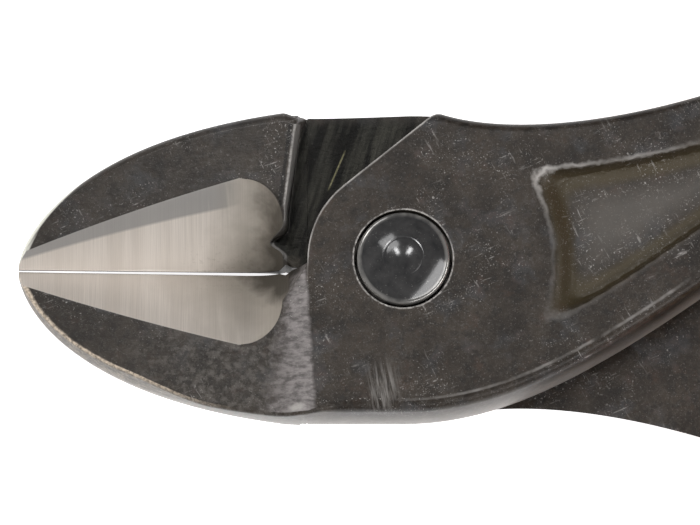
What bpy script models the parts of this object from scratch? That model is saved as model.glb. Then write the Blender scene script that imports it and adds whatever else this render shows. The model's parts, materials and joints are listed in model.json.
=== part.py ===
"""Insulated diagonal cutting pliers, closed and lying flat with the rivet head up.

Lengths are in metres. The jaw tips point to -X, the handles to +X. Both levers are drawn
around the pivot: x and y run from its axis, z from the plane where the joint plates meet.
"""

import math

import bmesh
import bpy
import numpy as np

MM = 0.001

# Whole tool
OVERALL_LENGTH = 160 * MM
TIP_REACH = 30.65 * MM  # pivot axis to the jaw tip

# Jaws, in plan
JAW_HALF_WIDTH = 12.2 * MM  # cutting line to the outside at the heel
HEEL_SETBACK = 9.7 * MM  # pivot axis to the widest point of a jaw
NOSE_FULLNESS = 1.2 * MM  # curve handle at the blunt tip
BELLY_SETBACK = 2.7 * MM  # curve handle behind the tip
BELLY_HALF_WIDTH = 9.86 * MM
TIP_GAP = 0.1 * MM  # light gap between the closed cutting edges
HEEL_GAP = 0.26 * MM

# Jaws, in height over the joint plane
FACE_Z_TIP = 0.05 * MM
FACE_Z_HEEL = 4.05 * MM
EDGE_Z_TIP = -1.5 * MM
EDGE_Z_HEEL = -3.3 * MM
BACK_Z_TIP = -2.7 * MM
BACK_Z_HEEL = -4.6 * MM
JAW_ROUNDING = 0.8 * MM
JAW_DRAFT = 0.35 * MM

# Ground facets along the cutting edges
FACET_RISE = 1.0  # height gained per length away from the edge
BACK_FACET_RISE = 1.0
RUNOUT_RADIUS = 3.45 * MM  # round end of the front facet at the heel
RUNOUT_OFFSET = 3.2 * MM  # its centre, away from the cutting line
RUNOUT_FLARE = 0.25  # how much further the facet runs out close to the cutting line

# Half-lap joint
JOINT_THICKNESS = 10 * MM
LAP_GAP = 0.3 * MM
JOINT_HALF_WIDTH = 12.05 * MM
JOINT_RADIUS = 7.55 * MM  # machined round of each plate about the pivot
SHOULDER_ANGLE = math.radians(51.3)  # where the round turns into the straight shoulder
HEEL_CLEARANCE = 1.9 * MM  # between that round and the heel wall of the other jaw
HEEL_LEAN = 0.13
HEEL_CORNER = 4.4 * MM  # cutting line to the corner where the heel wall turns in
HEEL_CUT_BACK = 1.15 * MM  # how far the wall turns in below that corner
HEEL_CUT_LENGTH = 1.7 * MM
POCKET_RELIEF = 0.3 * MM  # heel pocket floor under the lap face
SLOPE_LENGTH = 2.9 * MM  # ramp from a jaw up to its joint plate
JAW_ROOT = 1.4 * MM  # a jaw runs this far into its joint plate

# Forged edges of plate and shank
EDGE_ROUNDING = 0.85 * MM
FORGING_DRAFT = 0.35 * MM
EDGE_BREAK = 0.1  # machined edges keep this share of the rounding

# Rivet
RIVET_HEAD_RADIUS = 3.65 * MM
RIVET_DOME = 1.25 * MM
RIVET_DISC_RADIUS = 1.55 * MM
RIVET_SHANK_RADIUS = 2.8 * MM
RIVET_TAIL_RADIUS = 3.4 * MM
RIVET_SEAT_DEPTH = 1.3 * MM
RIVET_GAP = 0.25 * MM

# Handle line, through the middle of the upper grip
GRIP_START = 34 * MM  # pivot axis to the front of the hand guard
GRIP_SPLAY = math.radians(21.8)
GRIP_BOW_Y = 17.9 * MM
GRIP_END_Y = 14.9 * MM
SHANK_INNER_RUN = 11 * MM  # inner edge: how long it holds the joint's width
SHANK_INNER_BEND = (20.5 * MM, -4.6 * MM)  # and the point it bends towards
SHANK_BACK_DIP = 2.05 * MM  # outer edge: drop behind the joint corner
SHANK_BACK_RUN = 6.5 * MM
SHANK_BACK_BEND = (21 * MM, 11.8 * MM)
TANG_SHARE = 0.9  # part of the grip length that the steel tang fills
TANG_HALF_WIDTH_FRONT = 5.5 * MM
TANG_HALF_WIDTH_END = 3.0 * MM
CROTCH_CLEARANCE = 1.2 * MM  # the shank leaves its half of the joint once this far past the axis
JOGGLE_LENGTH = 9 * MM
PANEL_DEPTH = 1.0 * MM
PANEL_RADIUS = 12 * MM  # front end of the sunk panel, about the pivot
PANEL_RIM = 4.1 * MM
PANEL_CORNER = 0.9 * MM
PANEL_END_SLOPE = 1.9 * MM
PANEL_SIDE_SLOPE = 0.4 * MM

# Soft inlays in the grip
PAD_DEPTH = 1.0 * MM
PAD_PROUD = 0.25 * MM
PAD_GAP = 0.25 * MM
PAD_RIB = 0.45 * MM
PALM_SPAN = (0.24, 0.86)
PALM_HALF_ANGLE = math.radians(52)
PALM_RIBS = 13
FINGER_SPAN = (0.2, 0.72)
FINGER_HALF_ANGLE = math.radians(42)
FINGER_RIBS = 10

# Insulation, built outwards from the tang
SLEEVE_COLLAR = 2.0 * MM  # inner sleeve showing in front of the guard
SLEEVE_WALL = 1.3 * MM
SLEEVE_COVER = 0.9 * MM  # over and under the shank
SLEEVE_TAPER = 0.16
SLEEVE_FIT = 0.3 * MM
SHELL_WALL = 2.1 * MM
SHELL_SKIN = 0.45 * MM  # left under the inlays
GRIP_WAIST = 0.07  # slimmer share at two thirds of the length
GRIP_END_ROUND = 8 * MM
GUARD_OUTSIDE = 3.8 * MM  # guard height over the grip, away from the other handle
GUARD_INSIDE = 1.7 * MM
GUARD_GAP = 2.2 * MM  # between the two guards when the tool is closed
GUARD_OVER = 1.3 * MM
GUARD_LENGTH = 3.4 * MM
GUARD_FADE = 6 * MM
GRIP_SQUARENESS = 2.5
GUARD_SQUARENESS = 4.0

PLATE_TOP = JOINT_THICKNESS / 2
LAP_Z = LAP_GAP / 2
SLEEVE_HALF_WIDTH = TANG_HALF_WIDTH_FRONT + SLEEVE_FIT + SLEEVE_WALL
SLEEVE_HALF_THICKNESS = PLATE_TOP + SLEEVE_FIT + SLEEVE_COVER
GRIP_HALF_WIDTH = SLEEVE_HALF_WIDTH + SLEEVE_FIT + SHELL_WALL
GRIP_HALF_THICKNESS = SLEEVE_HALF_THICKNESS + SLEEVE_FIT + SHELL_SKIN + PAD_GAP + PAD_DEPTH
GUARD_HALF_THICKNESS = GRIP_HALF_THICKNESS + GUARD_OVER
GRIP_START_Y = GUARD_GAP / 2 + (GRIP_HALF_WIDTH + GUARD_INSIDE) * math.cos(GRIP_SPLAY)
PIVOT = (TIP_REACH - OVERALL_LENGTH / 2, 0.0, GUARD_HALF_THICKNESS)


def bezier(p0, p1, p2, p3, count):
    """Points on a cubic curve, both ends included."""
    t = np.linspace(0, 1, count)[:, None]
    ends = (1 - t) ** 3 * np.array(p0) + t**3 * np.array(p3)
    return ends + 3 * (1 - t) ** 2 * t * np.array(p1) + 3 * (1 - t) * t**2 * np.array(p2)


def ease(value):
    """0 below 0, 1 above 1, and a smooth rise between."""
    value = np.clip(value, 0, 1)
    return value * value * (3 - 2 * value)


def turned(points):
    """Half a turn about the X axis, which carries one lever half onto the other."""
    return points * np.array([1, -1, -1])


def inset(outline, amounts):
    """A closed counter-clockwise outline with each edge moved inwards by its own amount."""
    edge = np.roll(outline, -1, axis=0) - outline
    edge /= np.linalg.norm(edge, axis=1)[:, None]
    inward = np.stack([-edge[:, 1], edge[:, 0]], axis=1)
    moved = []
    for k, point in enumerate(outline):
        n1, n2 = inward[k - 1], inward[k]
        d1, d2 = amounts[k - 1], amounts[k]
        cross = n1[0] * n2[1] - n1[1] * n2[0]
        if abs(cross) < 0.3:
            middle = (n1 + n2) / np.linalg.norm(n1 + n2)
            moved.append(point + middle * (d1 + d2) / 2)
        else:
            x = (d1 * n2[1] - d2 * n1[1]) / cross
            y = (d2 * n1[0] - d1 * n2[0]) / cross
            moved.append(point + np.array([x, y]))
    return np.array(moved)


def ring_solid(rings):
    """A closed body from rings of equal length, with a flat cap on the first and the last."""
    body = bmesh.new()
    loops = [[body.verts.new(point) for point in ring] for ring in rings]
    count = len(loops[0])
    for low, high in zip(loops, loops[1:]):
        for k in range(count):
            body.faces.new((low[k - 1], low[k], high[k], high[k - 1]))
    bmesh.ops.triangulate(body, faces=body.faces)
    body.faces.new(loops[0])
    body.faces.new(loops[-1])
    bmesh.ops.recalc_face_normals(body, faces=body.faces)
    return body


def revolved(profile, steps):
    """A closed body from (radius, height) points turned about Z; the ends lie on the axis."""
    angles = np.linspace(0, 2 * math.pi, steps, endpoint=False)
    body = bmesh.new()
    top = body.verts.new((0, 0, profile[0][1]))
    foot = body.verts.new((0, 0, profile[-1][1]))
    rings = []
    for radius, height in profile[1:-1]:
        ring = [(radius * math.cos(a), radius * math.sin(a), height) for a in angles]
        rings.append([body.verts.new(point) for point in ring])
    for k in range(steps):
        body.faces.new((top, rings[0][k - 1], rings[0][k]))
        body.faces.new((foot, rings[-1][k], rings[-1][k - 1]))
        for high, low in zip(rings, rings[1:]):
            body.faces.new((high[k - 1], low[k - 1], low[k], high[k]))
    bmesh.ops.recalc_face_normals(body, faces=body.faces)
    return body


def place(name, body, group, material=None):
    """An object of this body under a group; one with no material is a hidden cutter."""
    mesh = bpy.data.meshes.new(name)
    body.to_mesh(mesh)
    body.free()
    return place_mesh(name, mesh, group, material)


def place_mesh(name, mesh, group, material=None):
    item = bpy.data.objects.new(name, mesh)
    bpy.context.collection.objects.link(item)
    item.parent = group
    if material and not mesh.materials:
        mesh.materials.append(material)
    if not material:
        item.hide_render = True
        item.display_type = "WIRE"
    return item


def combine(item, other, operation):
    step = item.modifiers.new(other.name, "BOOLEAN")
    step.operation = operation
    step.object = other


def surface(name, color, metallic, roughness):
    material = bpy.data.materials.new(name)
    material.use_nodes = True
    shader = material.node_tree.nodes["Principled BSDF"]
    shader.inputs["Base Color"].default_value = (*color, 1)
    shader.inputs["Metallic"].default_value = metallic
    shader.inputs["Roughness"].default_value = roughness
    return material


def grip_line(count, start=0.0, stop=1.0):
    """Points along the upper handle, with the direction that points away from the other one."""
    reach = OVERALL_LENGTH - TIP_REACH - GRIP_START
    lead = 0.31 * reach
    p0 = np.array([GRIP_START, GRIP_START_Y])
    p1 = p0 + lead * np.array([math.cos(GRIP_SPLAY), math.sin(GRIP_SPLAY)])
    p2 = np.array([GRIP_START + 0.64 * reach, GRIP_BOW_Y])
    p3 = np.array([GRIP_START + reach, GRIP_END_Y])
    t = np.linspace(start, stop, count)[:, None]
    points = (1 - t) ** 3 * p0 + 3 * (1 - t) ** 2 * t * p1 + 3 * (1 - t) * t**2 * p2 + t**3 * p3
    slope = (1 - t) ** 2 * (p1 - p0) + 2 * (1 - t) * t * (p2 - p1) + t**2 * (p3 - p2)
    slope /= np.linalg.norm(slope, axis=1)[:, None]
    return points, np.stack([-slope[:, 1], slope[:, 0]], axis=1)


def joggle(x):
    """How far the shank drops from its half of the joint to the middle of the handle."""
    return (PLATE_TOP + LAP_Z) / 2 * ease((x - crotch_x()) / JOGGLE_LENGTH)


def jaw_half_width(x):
    """Outer edge of a jaw in plan: one curve from the blunt tip to the heel."""
    tip = (-TIP_REACH, 0)
    nose = (-TIP_REACH, NOSE_FULLNESS)
    belly = (-TIP_REACH + BELLY_SETBACK, BELLY_HALF_WIDTH)
    heel = (-HEEL_SETBACK, JAW_HALF_WIDTH)
    plate = (-JOINT_RADIUS, JOINT_HALF_WIDTH - 0.1 * FORGING_DRAFT)
    root = (-JOINT_RADIUS + JAW_ROOT, JOINT_HALF_WIDTH - FORGING_DRAFT - EDGE_ROUNDING)
    curve = np.concatenate([bezier(tip, nose, belly, heel, 300), [plate, root]])
    return float(np.interp(x, curve[:, 0], curve[:, 1]))


def along_jaw(x, at_tip, at_heel):
    """A height that changes evenly from the tip to the heel."""
    return at_tip + (at_heel - at_tip) * (x + TIP_REACH) / (TIP_REACH - HEEL_SETBACK)


def ramped(x, face):
    """The face of a jaw on the side of its own joint plate: it ramps up to the plate."""
    ramp = ease((x + JOINT_RADIUS + SLOPE_LENGTH) / SLOPE_LENGTH)
    return face + (PLATE_TOP - 0.02 * MM - face) * ramp


def facet_width(x, face, edge):
    """Distance from the cutting line to the outer border of the front facet."""
    start = -JOINT_RADIUS - HEEL_CLEARANCE - RUNOUT_RADIUS
    straight = (face - edge) / FACET_RISE
    past = min(max(0, x - start), RUNOUT_RADIUS)
    return min(straight, RUNOUT_OFFSET + math.sqrt(RUNOUT_RADIUS**2 - past**2))


def facet_height(x, y, face, edge):
    """Ground plane of the front facet, curving up to the face at its round end."""
    plane = edge + FACET_RISE * y
    start = -JOINT_RADIUS - HEEL_CLEARANCE - RUNOUT_RADIUS
    beyond = max(0, y - RUNOUT_OFFSET)
    end = math.sqrt(max(1e-12, RUNOUT_RADIUS**2 - beyond**2))
    end += RUNOUT_FLARE * max(0, RUNOUT_OFFSET - y)
    share = min(1, max(0, x - start) / end) ** 3
    return min(face, plane + max(0, face - plane) * share)


def jaw_section(x, plate_in_front):
    """Closed loop of (y, z) points around one jaw at x, for a jaw on the +Y side."""
    face = along_jaw(x, FACE_Z_TIP, FACE_Z_HEEL)
    edge = along_jaw(x, EDGE_Z_TIP, EDGE_Z_HEEL)
    back = along_jaw(x, BACK_Z_TIP, BACK_Z_HEEL)
    gap = along_jaw(x, TIP_GAP, HEEL_GAP) / 2
    width = jaw_half_width(x)
    front = ramped(x, face) if plate_in_front else face
    rear = back if plate_in_front else -ramped(x, -back)
    rounding = min(JAW_ROUNDING, 0.3 * width)
    draft = min(JAW_DRAFT, 0.1 * width)
    border = min(facet_width(x, front, edge), width - draft - 1.5 * rounding)
    loop = []
    for share in (0, 0.3, 0.6, 0.85, 1):
        y = gap + (border - gap) * share
        loop.append((y, facet_height(x, y, front, edge)))
    outside = width - draft
    top = min(front, edge + FACET_RISE * (outside - rounding))
    loop.append(((border + outside - rounding) / 2, (loop[-1][1] + top) / 2))
    for turn in (0, 0.5, 1):
        y = outside - rounding + rounding * math.sin(turn * math.pi / 2)
        loop.append((y, top - rounding + rounding * math.cos(turn * math.pi / 2)))
    foot = max(rear, edge - BACK_FACET_RISE * (outside - rounding))
    loop.append((width, (top + foot) / 2))
    for turn in (1, 0.5, 0):
        y = outside - rounding + rounding * math.sin(turn * math.pi / 2)
        loop.append((y, foot + rounding - rounding * math.cos(turn * math.pi / 2)))
    fade = 1 - ease((x + HEEL_SETBACK + SLOPE_LENGTH) / SLOPE_LENGTH)
    rear_border = gap + 0.3 * MM + (edge - rear) / BACK_FACET_RISE * fade
    rear_border = min(rear_border, 0.7 * (outside - rounding))
    sunk = BACK_FACET_RISE * rear_border * fade + (edge - rear) * (1 - fade)
    loop.append((rear_border, max(rear, edge - sunk)))
    return loop


def jaw_body(side, plate_in_front):
    """One jaw from its tip into its joint plate; side is +1 above the cutting line, -1 below."""
    tip = -TIP_REACH
    nose = bezier((tip, 0), (tip, 0), (tip + BELLY_SETBACK, 0), (-HEEL_SETBACK, 0), 12)
    runout_start = -JOINT_RADIUS - HEEL_CLEARANCE - RUNOUT_RADIUS
    stations = [x for x in nose[2:, 0] if x < runout_start - 0.5 * MM]
    stations = [tip + 0.12 * MM] + stations
    stations += list(np.linspace(runout_start, -JOINT_RADIUS, 11))
    stations.append(-JOINT_RADIUS + JAW_ROOT)
    rings = []
    for x in stations:
        rings.append(np.array([(x, side * y, z) for y, z in jaw_section(x, plate_in_front)]))
    return ring_solid(rings)


def heel_pocket():
    """Room in front of the rear lever's heel for the plate of the front lever."""
    wall_x = -JOINT_RADIUS - HEEL_CLEARANCE
    outer = 1.3 * JAW_HALF_WIDTH
    past_line = -4 * HEEL_GAP
    outline = np.array([
        (wall_x - HEEL_CUT_BACK, past_line),
        (JAW_ROOT, past_line),
        (JAW_ROOT, outer),
        (wall_x + HEEL_LEAN * (outer - HEEL_CORNER), outer),
        (wall_x, HEEL_CORNER),
        (wall_x - HEEL_CUT_BACK, HEEL_CORNER - HEEL_CUT_LENGTH),
    ])
    floor = -LAP_Z - POCKET_RELIEF
    levels = (floor, 2 * PLATE_TOP)
    return [np.column_stack([outline, np.full(len(outline), z)]) for z in levels]


def tang_edges(count):
    """Both edges of the tang in plan, from the guard to its end: towards the axis and away from it."""
    line, outward = grip_line(count, 0, TANG_SHARE)
    width = np.linspace(TANG_HALF_WIDTH_FRONT, TANG_HALF_WIDTH_END, count)[:, None]
    return line - width * outward, line + width * outward


def shank_edges(count):
    """Both edges of the front lever between joint and tang, each read from left to right."""
    half = JOINT_HALF_WIDTH
    tang_in, tang_out = tang_edges(2)
    shoulder = math.pi - SHOULDER_ANGLE
    corner = ((JOINT_RADIUS - half * math.sin(shoulder)) / math.cos(shoulder), half)
    dip = (corner[0] + SHANK_BACK_RUN, half - SHANK_BACK_DIP)
    inner = bezier((0, -half), (SHANK_INNER_RUN, -half), SHANK_INNER_BEND, tang_in[0], count)
    outer = bezier(corner, dip, SHANK_BACK_BEND, tang_out[0], count)
    return inner, outer


def crotch_x():
    """Where the inner edge of a lever has cleared the other lever."""
    inner, _ = shank_edges(200)
    return float(np.interp(CROTCH_CLEARANCE, inner[:, 1], inner[:, 0]))


def bar_outline():
    """Plan of the front lever's plate, shank and tang, and the edge finish of each stretch."""
    tang_in, tang_out = tang_edges(9)
    inner, outer = shank_edges(12)
    outer = outer[::-1]
    angles = np.linspace(math.pi - SHOULDER_ANGLE, math.pi, 9)
    joint_round = JOINT_RADIUS * np.column_stack([np.cos(angles), np.sin(angles)])
    stretches = (
        (np.array([[-JOINT_RADIUS, -JOINT_HALF_WIDTH]]), 1),
        (inner[:-1], 1),
        (tang_in, 0.6),
        (tang_out[::-1], 0.6),
        (outer[1:-1], 1),
        (outer[-1:], EDGE_BREAK),
        (joint_round[:-1], EDGE_BREAK),
        (joint_round[-1:], 0),
    )
    points = np.concatenate([points for points, _ in stretches])
    finish = np.concatenate([np.full(len(points), share) for points, share in stretches])
    return points, finish


def panel_outline(end_radius, rim):
    """Plan of the sunk shank panel: two sides inside the rim and a round end about the pivot."""
    sides = []
    for edge, inward in zip(shank_edges(80), (1, -1)):
        edge = edge[edge[:, 0] < crotch_x()]
        slope = np.gradient(edge, axis=0)
        slope /= np.linalg.norm(slope, axis=1)[:, None]
        moved = edge + inward * rim * np.column_stack([-slope[:, 1], slope[:, 0]])
        moved = moved[np.hypot(moved[:, 0], moved[:, 1]) > end_radius + PANEL_CORNER]
        sides.append(moved[np.linspace(0, len(moved) - 1, 6).astype(int)])
    low, high = sides
    turn = PANEL_CORNER / end_radius
    start = math.atan2(high[0, 1], high[0, 0]) - turn
    stop = math.atan2(low[0, 1], low[0, 0]) + turn
    bend = np.linspace(start, stop, 7)
    end = end_radius * np.column_stack([np.cos(bend), np.sin(bend)])
    return np.concatenate([low, high[::-1], end])


def bar_body():
    """Plate, shank and tang of the front lever, with forged edges and the drop behind the joint."""
    points, finish = bar_outline()
    levels = (
        (LAP_Z, 0),
        (PLATE_TOP - EDGE_ROUNDING, FORGING_DRAFT),
        (PLATE_TOP - 0.3 * EDGE_ROUNDING, FORGING_DRAFT + 0.3 * EDGE_ROUNDING),
        (PLATE_TOP, FORGING_DRAFT + EDGE_ROUNDING),
    )
    rings = []
    for z, amount in levels:
        ring = inset(points, amount * finish)
        rings.append(np.column_stack([ring, np.full(len(ring), z)]))
    body = ring_solid(rings)
    for x in np.linspace(crotch_x(), crotch_x() + JOGGLE_LENGTH, 6):
        everything = body.verts[:] + body.edges[:] + body.faces[:]
        bmesh.ops.bisect_plane(body, geom=everything, plane_co=(x, 0, 0), plane_no=(1, 0, 0))
    for corner in body.verts:
        corner.co.z -= joggle(corner.co.x)
    return body


def tang_room():
    """Hollow of the inner sleeve: the tang with its fit all round, open at the front."""
    close = list(range(8)) + list(range(8, 33, 4))  # closer stations where the tang drops
    tang_in, tang_out = (edge[close] for edge in tang_edges(33))
    across = tang_out - tang_in
    across /= np.linalg.norm(across, axis=1)[:, None]
    along = np.column_stack([across[:, 1], -across[:, 0]])
    low_edge = tang_in - SLEEVE_FIT * across
    high_edge = tang_out + SLEEVE_FIT * across
    ahead = -4 * SLEEVE_COLLAR * along[0]
    spread = SLEEVE_COLLAR * across[0]  # the shank widens towards the joint
    behind = SLEEVE_FIT * along[-1]
    low_edge = np.concatenate([low_edge[:1] + ahead - spread, low_edge[:-1], low_edge[-1:] + behind])
    high_edge = np.concatenate([high_edge[:1] + ahead + spread, high_edge[:-1], high_edge[-1:] + behind])
    rings = []
    for a, b in zip(low_edge, high_edge):
        foot = LAP_Z - joggle(a[0]) - SLEEVE_FIT
        top = PLATE_TOP - joggle(b[0]) + SLEEVE_FIT
        rings.append(np.array([(*a, foot), (*b, foot), (*b, top), (*a, top)]))
    return ring_solid(rings)


def oval(middle, out, half_out, half_in, half_thick, square, count, flat=None):
    """One ring of a grip: a rounded oval across the handle, cut level at the height flat."""
    ring = []
    for k in range(count):
        angle = 2 * math.pi * k / count
        c, s = math.cos(angle), math.sin(angle)
        across = (half_out if c > 0 else half_in) * math.copysign(abs(c) ** (2 / square), c)
        z = half_thick * math.copysign(abs(s) ** (2 / square), s)
        if flat:
            z = min(flat, max(-flat, z))
        ring.append((middle[0] + across * out[0], middle[1] + across * out[1], z))
    return np.array(ring)


def grip_size(t):
    """Half width and half thickness of the grip: full at the front and end, slimmer between."""
    slim = 1 - GRIP_WAIST * math.sin(math.pi * min(1, max(0, (t - 0.35) / 0.65)))
    return GRIP_HALF_WIDTH * slim, GRIP_HALF_THICKNESS * slim


def grip_length():
    line, _ = grip_line(60)
    return float(np.linalg.norm(np.diff(line, axis=0), axis=1).sum())


def shell_body():
    """Outside of one grip with its hand guard and its rounded end."""
    length = grip_length()
    guard = [0, 0.25 * MM, 0.8 * MM, GUARD_LENGTH]
    guard += [GUARD_LENGTH + GUARD_FADE * share for share in (0.2, 0.4, 0.6, 0.8, 1)]
    body = list(np.linspace(guard[-1], length - GRIP_END_ROUND, 9)[1:])
    end = [length - GRIP_END_ROUND * math.cos(a) for a in np.radians((30, 50, 66, 79, 87))]
    rings = []
    for distance in guard + body + end:
        t = distance / length
        (middle,), (out,) = grip_line(1, t, t)
        half_width, half_thick = grip_size(t)
        front = min(1, distance / (0.8 * MM))
        rise = 1 - 0.35 * (1 - math.sqrt(max(0, 1 - (1 - front) ** 2)))
        rise *= 1 - ease((distance - GUARD_LENGTH) / GUARD_FADE)
        past = max(0, distance - length + GRIP_END_ROUND) / GRIP_END_ROUND
        close = math.sqrt(max(0.0, 1 - past**2))
        square = GRIP_SQUARENESS + (GUARD_SQUARENESS - GRIP_SQUARENESS) * rise
        thick = half_thick + (1.06 * GUARD_HALF_THICKNESS - half_thick) * rise
        rings.append(oval(
            middle, out,
            (half_width + GUARD_OUTSIDE * rise) * close, (half_width + GUARD_INSIDE * rise) * close,
            thick * close, square, 20, GUARD_HALF_THICKNESS,
        ))
    return ring_solid(rings)


def sleeve_body(extra, ahead):
    """Outside of the inner sleeve, grown by extra and starting ahead of the guard."""
    length = grip_length()
    stop = length * TANG_SHARE + 4 * MM
    rings = []
    for distance in [-ahead] + list(np.linspace(GUARD_LENGTH / 2, stop, 9)):
        t = distance / length
        (middle,), (out,) = grip_line(1, t, t)
        taper = 1 - SLEEVE_TAPER * ease(t)
        half_width = SLEEVE_HALF_WIDTH * taper + extra
        half_thick = SLEEVE_HALF_THICKNESS * taper + extra
        rings.append(oval(middle, out, half_width, half_width, half_thick, GRIP_SQUARENESS, 16))
    rings[-1] += extra * np.array([1, 0, 0])
    return ring_solid(rings)


def pad_body(span, centre, half_angle, ribs, low, high, grow, rib):
    """A lens-shaped inlay on the grip from depth low to height high, grown all round by grow."""
    length = grip_length()
    count = 2 * ribs + 1
    first = span[0] - grow / length
    last = span[1] + grow / length
    outer, inner = [], []
    for k, t in enumerate(np.linspace(first, last, count)):
        (middle,), (out,) = grip_line(1, t, t)
        half_width, half_thick = grip_size(t)
        share = 0.03 + 0.94 * (k / (count - 1))
        lens = half_angle * math.sin(math.pi * share) ** 0.5 + grow / half_width
        top = high + (rib if k % 2 else 0)
        for rows, level in ((outer, top), (inner, low)):
            row = []
            for angle in centre + np.linspace(-lens, lens, 7):
                c, s = math.cos(angle), math.sin(angle)
                across = (half_width + level) * math.copysign(abs(c) ** (2 / GRIP_SQUARENESS), c)
                z = (half_thick + level) * math.copysign(abs(s) ** (2 / GRIP_SQUARENESS), s)
                row.append((middle[0] + across * out[0], middle[1] + across * out[1], z))
            rows.append(row)
    rings = [np.array(a + b[::-1]) for a, b in zip(outer, inner)]
    return ring_solid(rings)


def rivet_profile(grow, head_top, tail_foot):
    """Half section of the rivet from the crown down; grow widens it into its seat."""
    seat = PLATE_TOP - RIVET_SEAT_DEPTH - grow
    tail = -PLATE_TOP + RIVET_SEAT_DEPTH + grow
    head = RIVET_HEAD_RADIUS + grow
    shank = RIVET_SHANK_RADIUS + grow
    end = RIVET_TAIL_RADIUS + grow
    return head_top + [(head, seat), (shank, seat), (shank, tail), (end, tail)] + tail_foot


for old in list(bpy.data.objects):
    bpy.data.objects.remove(old)

rear_group = bpy.data.objects.new("rear_group", None)
front_group = bpy.data.objects.new("front_group", None)
for group in (rear_group, front_group):
    group.location = PIVOT
    bpy.context.collection.objects.link(group)

forged_steel = surface("forged_steel", (0.07, 0.06, 0.055), 0.8, 0.45)
rivet_steel = surface("rivet_steel", (0.05, 0.05, 0.055), 0.9, 0.25)
sleeve_plastic = surface("sleeve_plastic", (0.85, 0.6, 0.03), 0.0, 0.45)
shell_plastic = surface("shell_plastic", (0.62, 0.03, 0.025), 0.0, 0.4)
pad_rubber = surface("pad_rubber", (0.85, 0.6, 0.03), 0.0, 0.6)

# Rivet: domed head in the front plate, shank through both, flush tail in the rear plate
crown = PLATE_TOP + RIVET_DOME
dome = [(0, crown), (RIVET_DISC_RADIUS, crown - 0.06 * MM)]
for share in (0.35, 0.6, 0.8, 0.93):
    radius = RIVET_DISC_RADIUS + (RIVET_HEAD_RADIUS - RIVET_DISC_RADIUS) * share
    dome.append((radius, crown - 0.06 * MM - (RIVET_DOME - 0.26 * MM) * share**2))
dome.append((RIVET_HEAD_RADIUS, PLATE_TOP))
foot_z = -PLATE_TOP + 0.1 * MM
rivet = rivet_profile(0, dome, [(RIVET_TAIL_RADIUS, foot_z), (0, foot_z)])
place("pivot_rivet", revolved(rivet, 32), rear_group, rivet_steel)
over, under = 3 * PLATE_TOP, -3 * PLATE_TOP
room = [(0, over), (RIVET_HEAD_RADIUS + RIVET_GAP, over)]
room = rivet_profile(RIVET_GAP, room, [(RIVET_TAIL_RADIUS + RIVET_GAP, under), (0, under)])
rivet_room = place("rivet_room", revolved(room, 32), rear_group)

# Sunk panel on the outer face of each shank: steep sides, a long slope at the round end
panel_rings = []
for way in (-1, 1):
    flat = panel_outline(PANEL_RADIUS + way * PANEL_END_SLOPE, PANEL_RIM + way * PANEL_SIDE_SLOPE)
    panel_rings.append(np.column_stack([flat, np.full(len(flat), PLATE_TOP - way * PANEL_DEPTH)]))

# Levers: plate with shank and tang, joined to the jaw, then cut for rivet and panel
halves = (("front_lever", front_group, -1, True), ("rear_lever", rear_group, 1, False))
for name, group, side, front in halves:
    bar = bar_body()
    pocket = heel_pocket()
    sunk = panel_rings
    if not front:
        for corner in bar.verts:
            corner.co.y *= -1
            corner.co.z *= -1
        sunk = [turned(ring) for ring in sunk]
    else:
        pocket = [turned(ring) for ring in pocket]
    lever = place(name, bar, group, forged_steel)
    jaw = place(name + "_jaw", jaw_body(side, front), group)
    combine(jaw, place(name + "_pocket", ring_solid(pocket), group), "DIFFERENCE")
    combine(lever, jaw, "UNION")
    combine(lever, rivet_room, "DIFFERENCE")
    combine(lever, place(name + "_panel", ring_solid(sunk), group), "DIFFERENCE")

# Insulation of the upper handle; the lower handle is the same set turned half round
sleeve = place("upper_core_sleeve", sleeve_body(0, SLEEVE_COLLAR), front_group, sleeve_plastic)
combine(sleeve, place("tang_room", tang_room(), front_group), "DIFFERENCE")
shell = place("upper_grip_shell", shell_body(), front_group, shell_plastic)
sleeve_room = place("sleeve_room", sleeve_body(SLEEVE_FIT, 3 * SLEEVE_COLLAR), front_group)
combine(shell, sleeve_room, "DIFFERENCE")
pads = (
    ("upper_palm_pad", PALM_SPAN, 0, PALM_HALF_ANGLE, PALM_RIBS),
    ("upper_finger_pad", FINGER_SPAN, math.pi, FINGER_HALF_ANGLE, FINGER_RIBS),
)
upper_pieces = [sleeve, shell]
for name, span, centre, half_angle, ribs in pads:
    inlay = pad_body(span, centre, half_angle, ribs, -PAD_DEPTH, PAD_PROUD, 0, PAD_RIB)
    upper_pieces.append(place(name, inlay, front_group, pad_rubber))
    hollow = pad_body(span, centre, half_angle, ribs, -PAD_DEPTH - PAD_GAP, 2 * PAD_DEPTH, PAD_GAP, 0)
    combine(shell, place(name + "_room", hollow, front_group), "DIFFERENCE")

for piece in upper_pieces:
    name = piece.name.replace("upper", "lower")
    twin = place_mesh(name, piece.data.copy(), rear_group, piece.data.materials[0])
    twin.rotation_euler = (math.pi, 0, 0)
    for step in piece.modifiers:
        cutter = step.object
        turned_cutter = place_mesh("lower_" + cutter.name, cutter.data, rear_group)
        turned_cutter.rotation_euler = (math.pi, 0, 0)
        combine(twin, turned_cutter, step.operation)
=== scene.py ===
"""Insulated diagonal cutting pliers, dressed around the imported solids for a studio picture.

Lengths inside the sections are millimetres from the pivot axis and from the plane where the two
joint plates meet; x runs to the handle ends, y to the upper handle and z up to the rivet head.
"""

import json
import math

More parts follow.
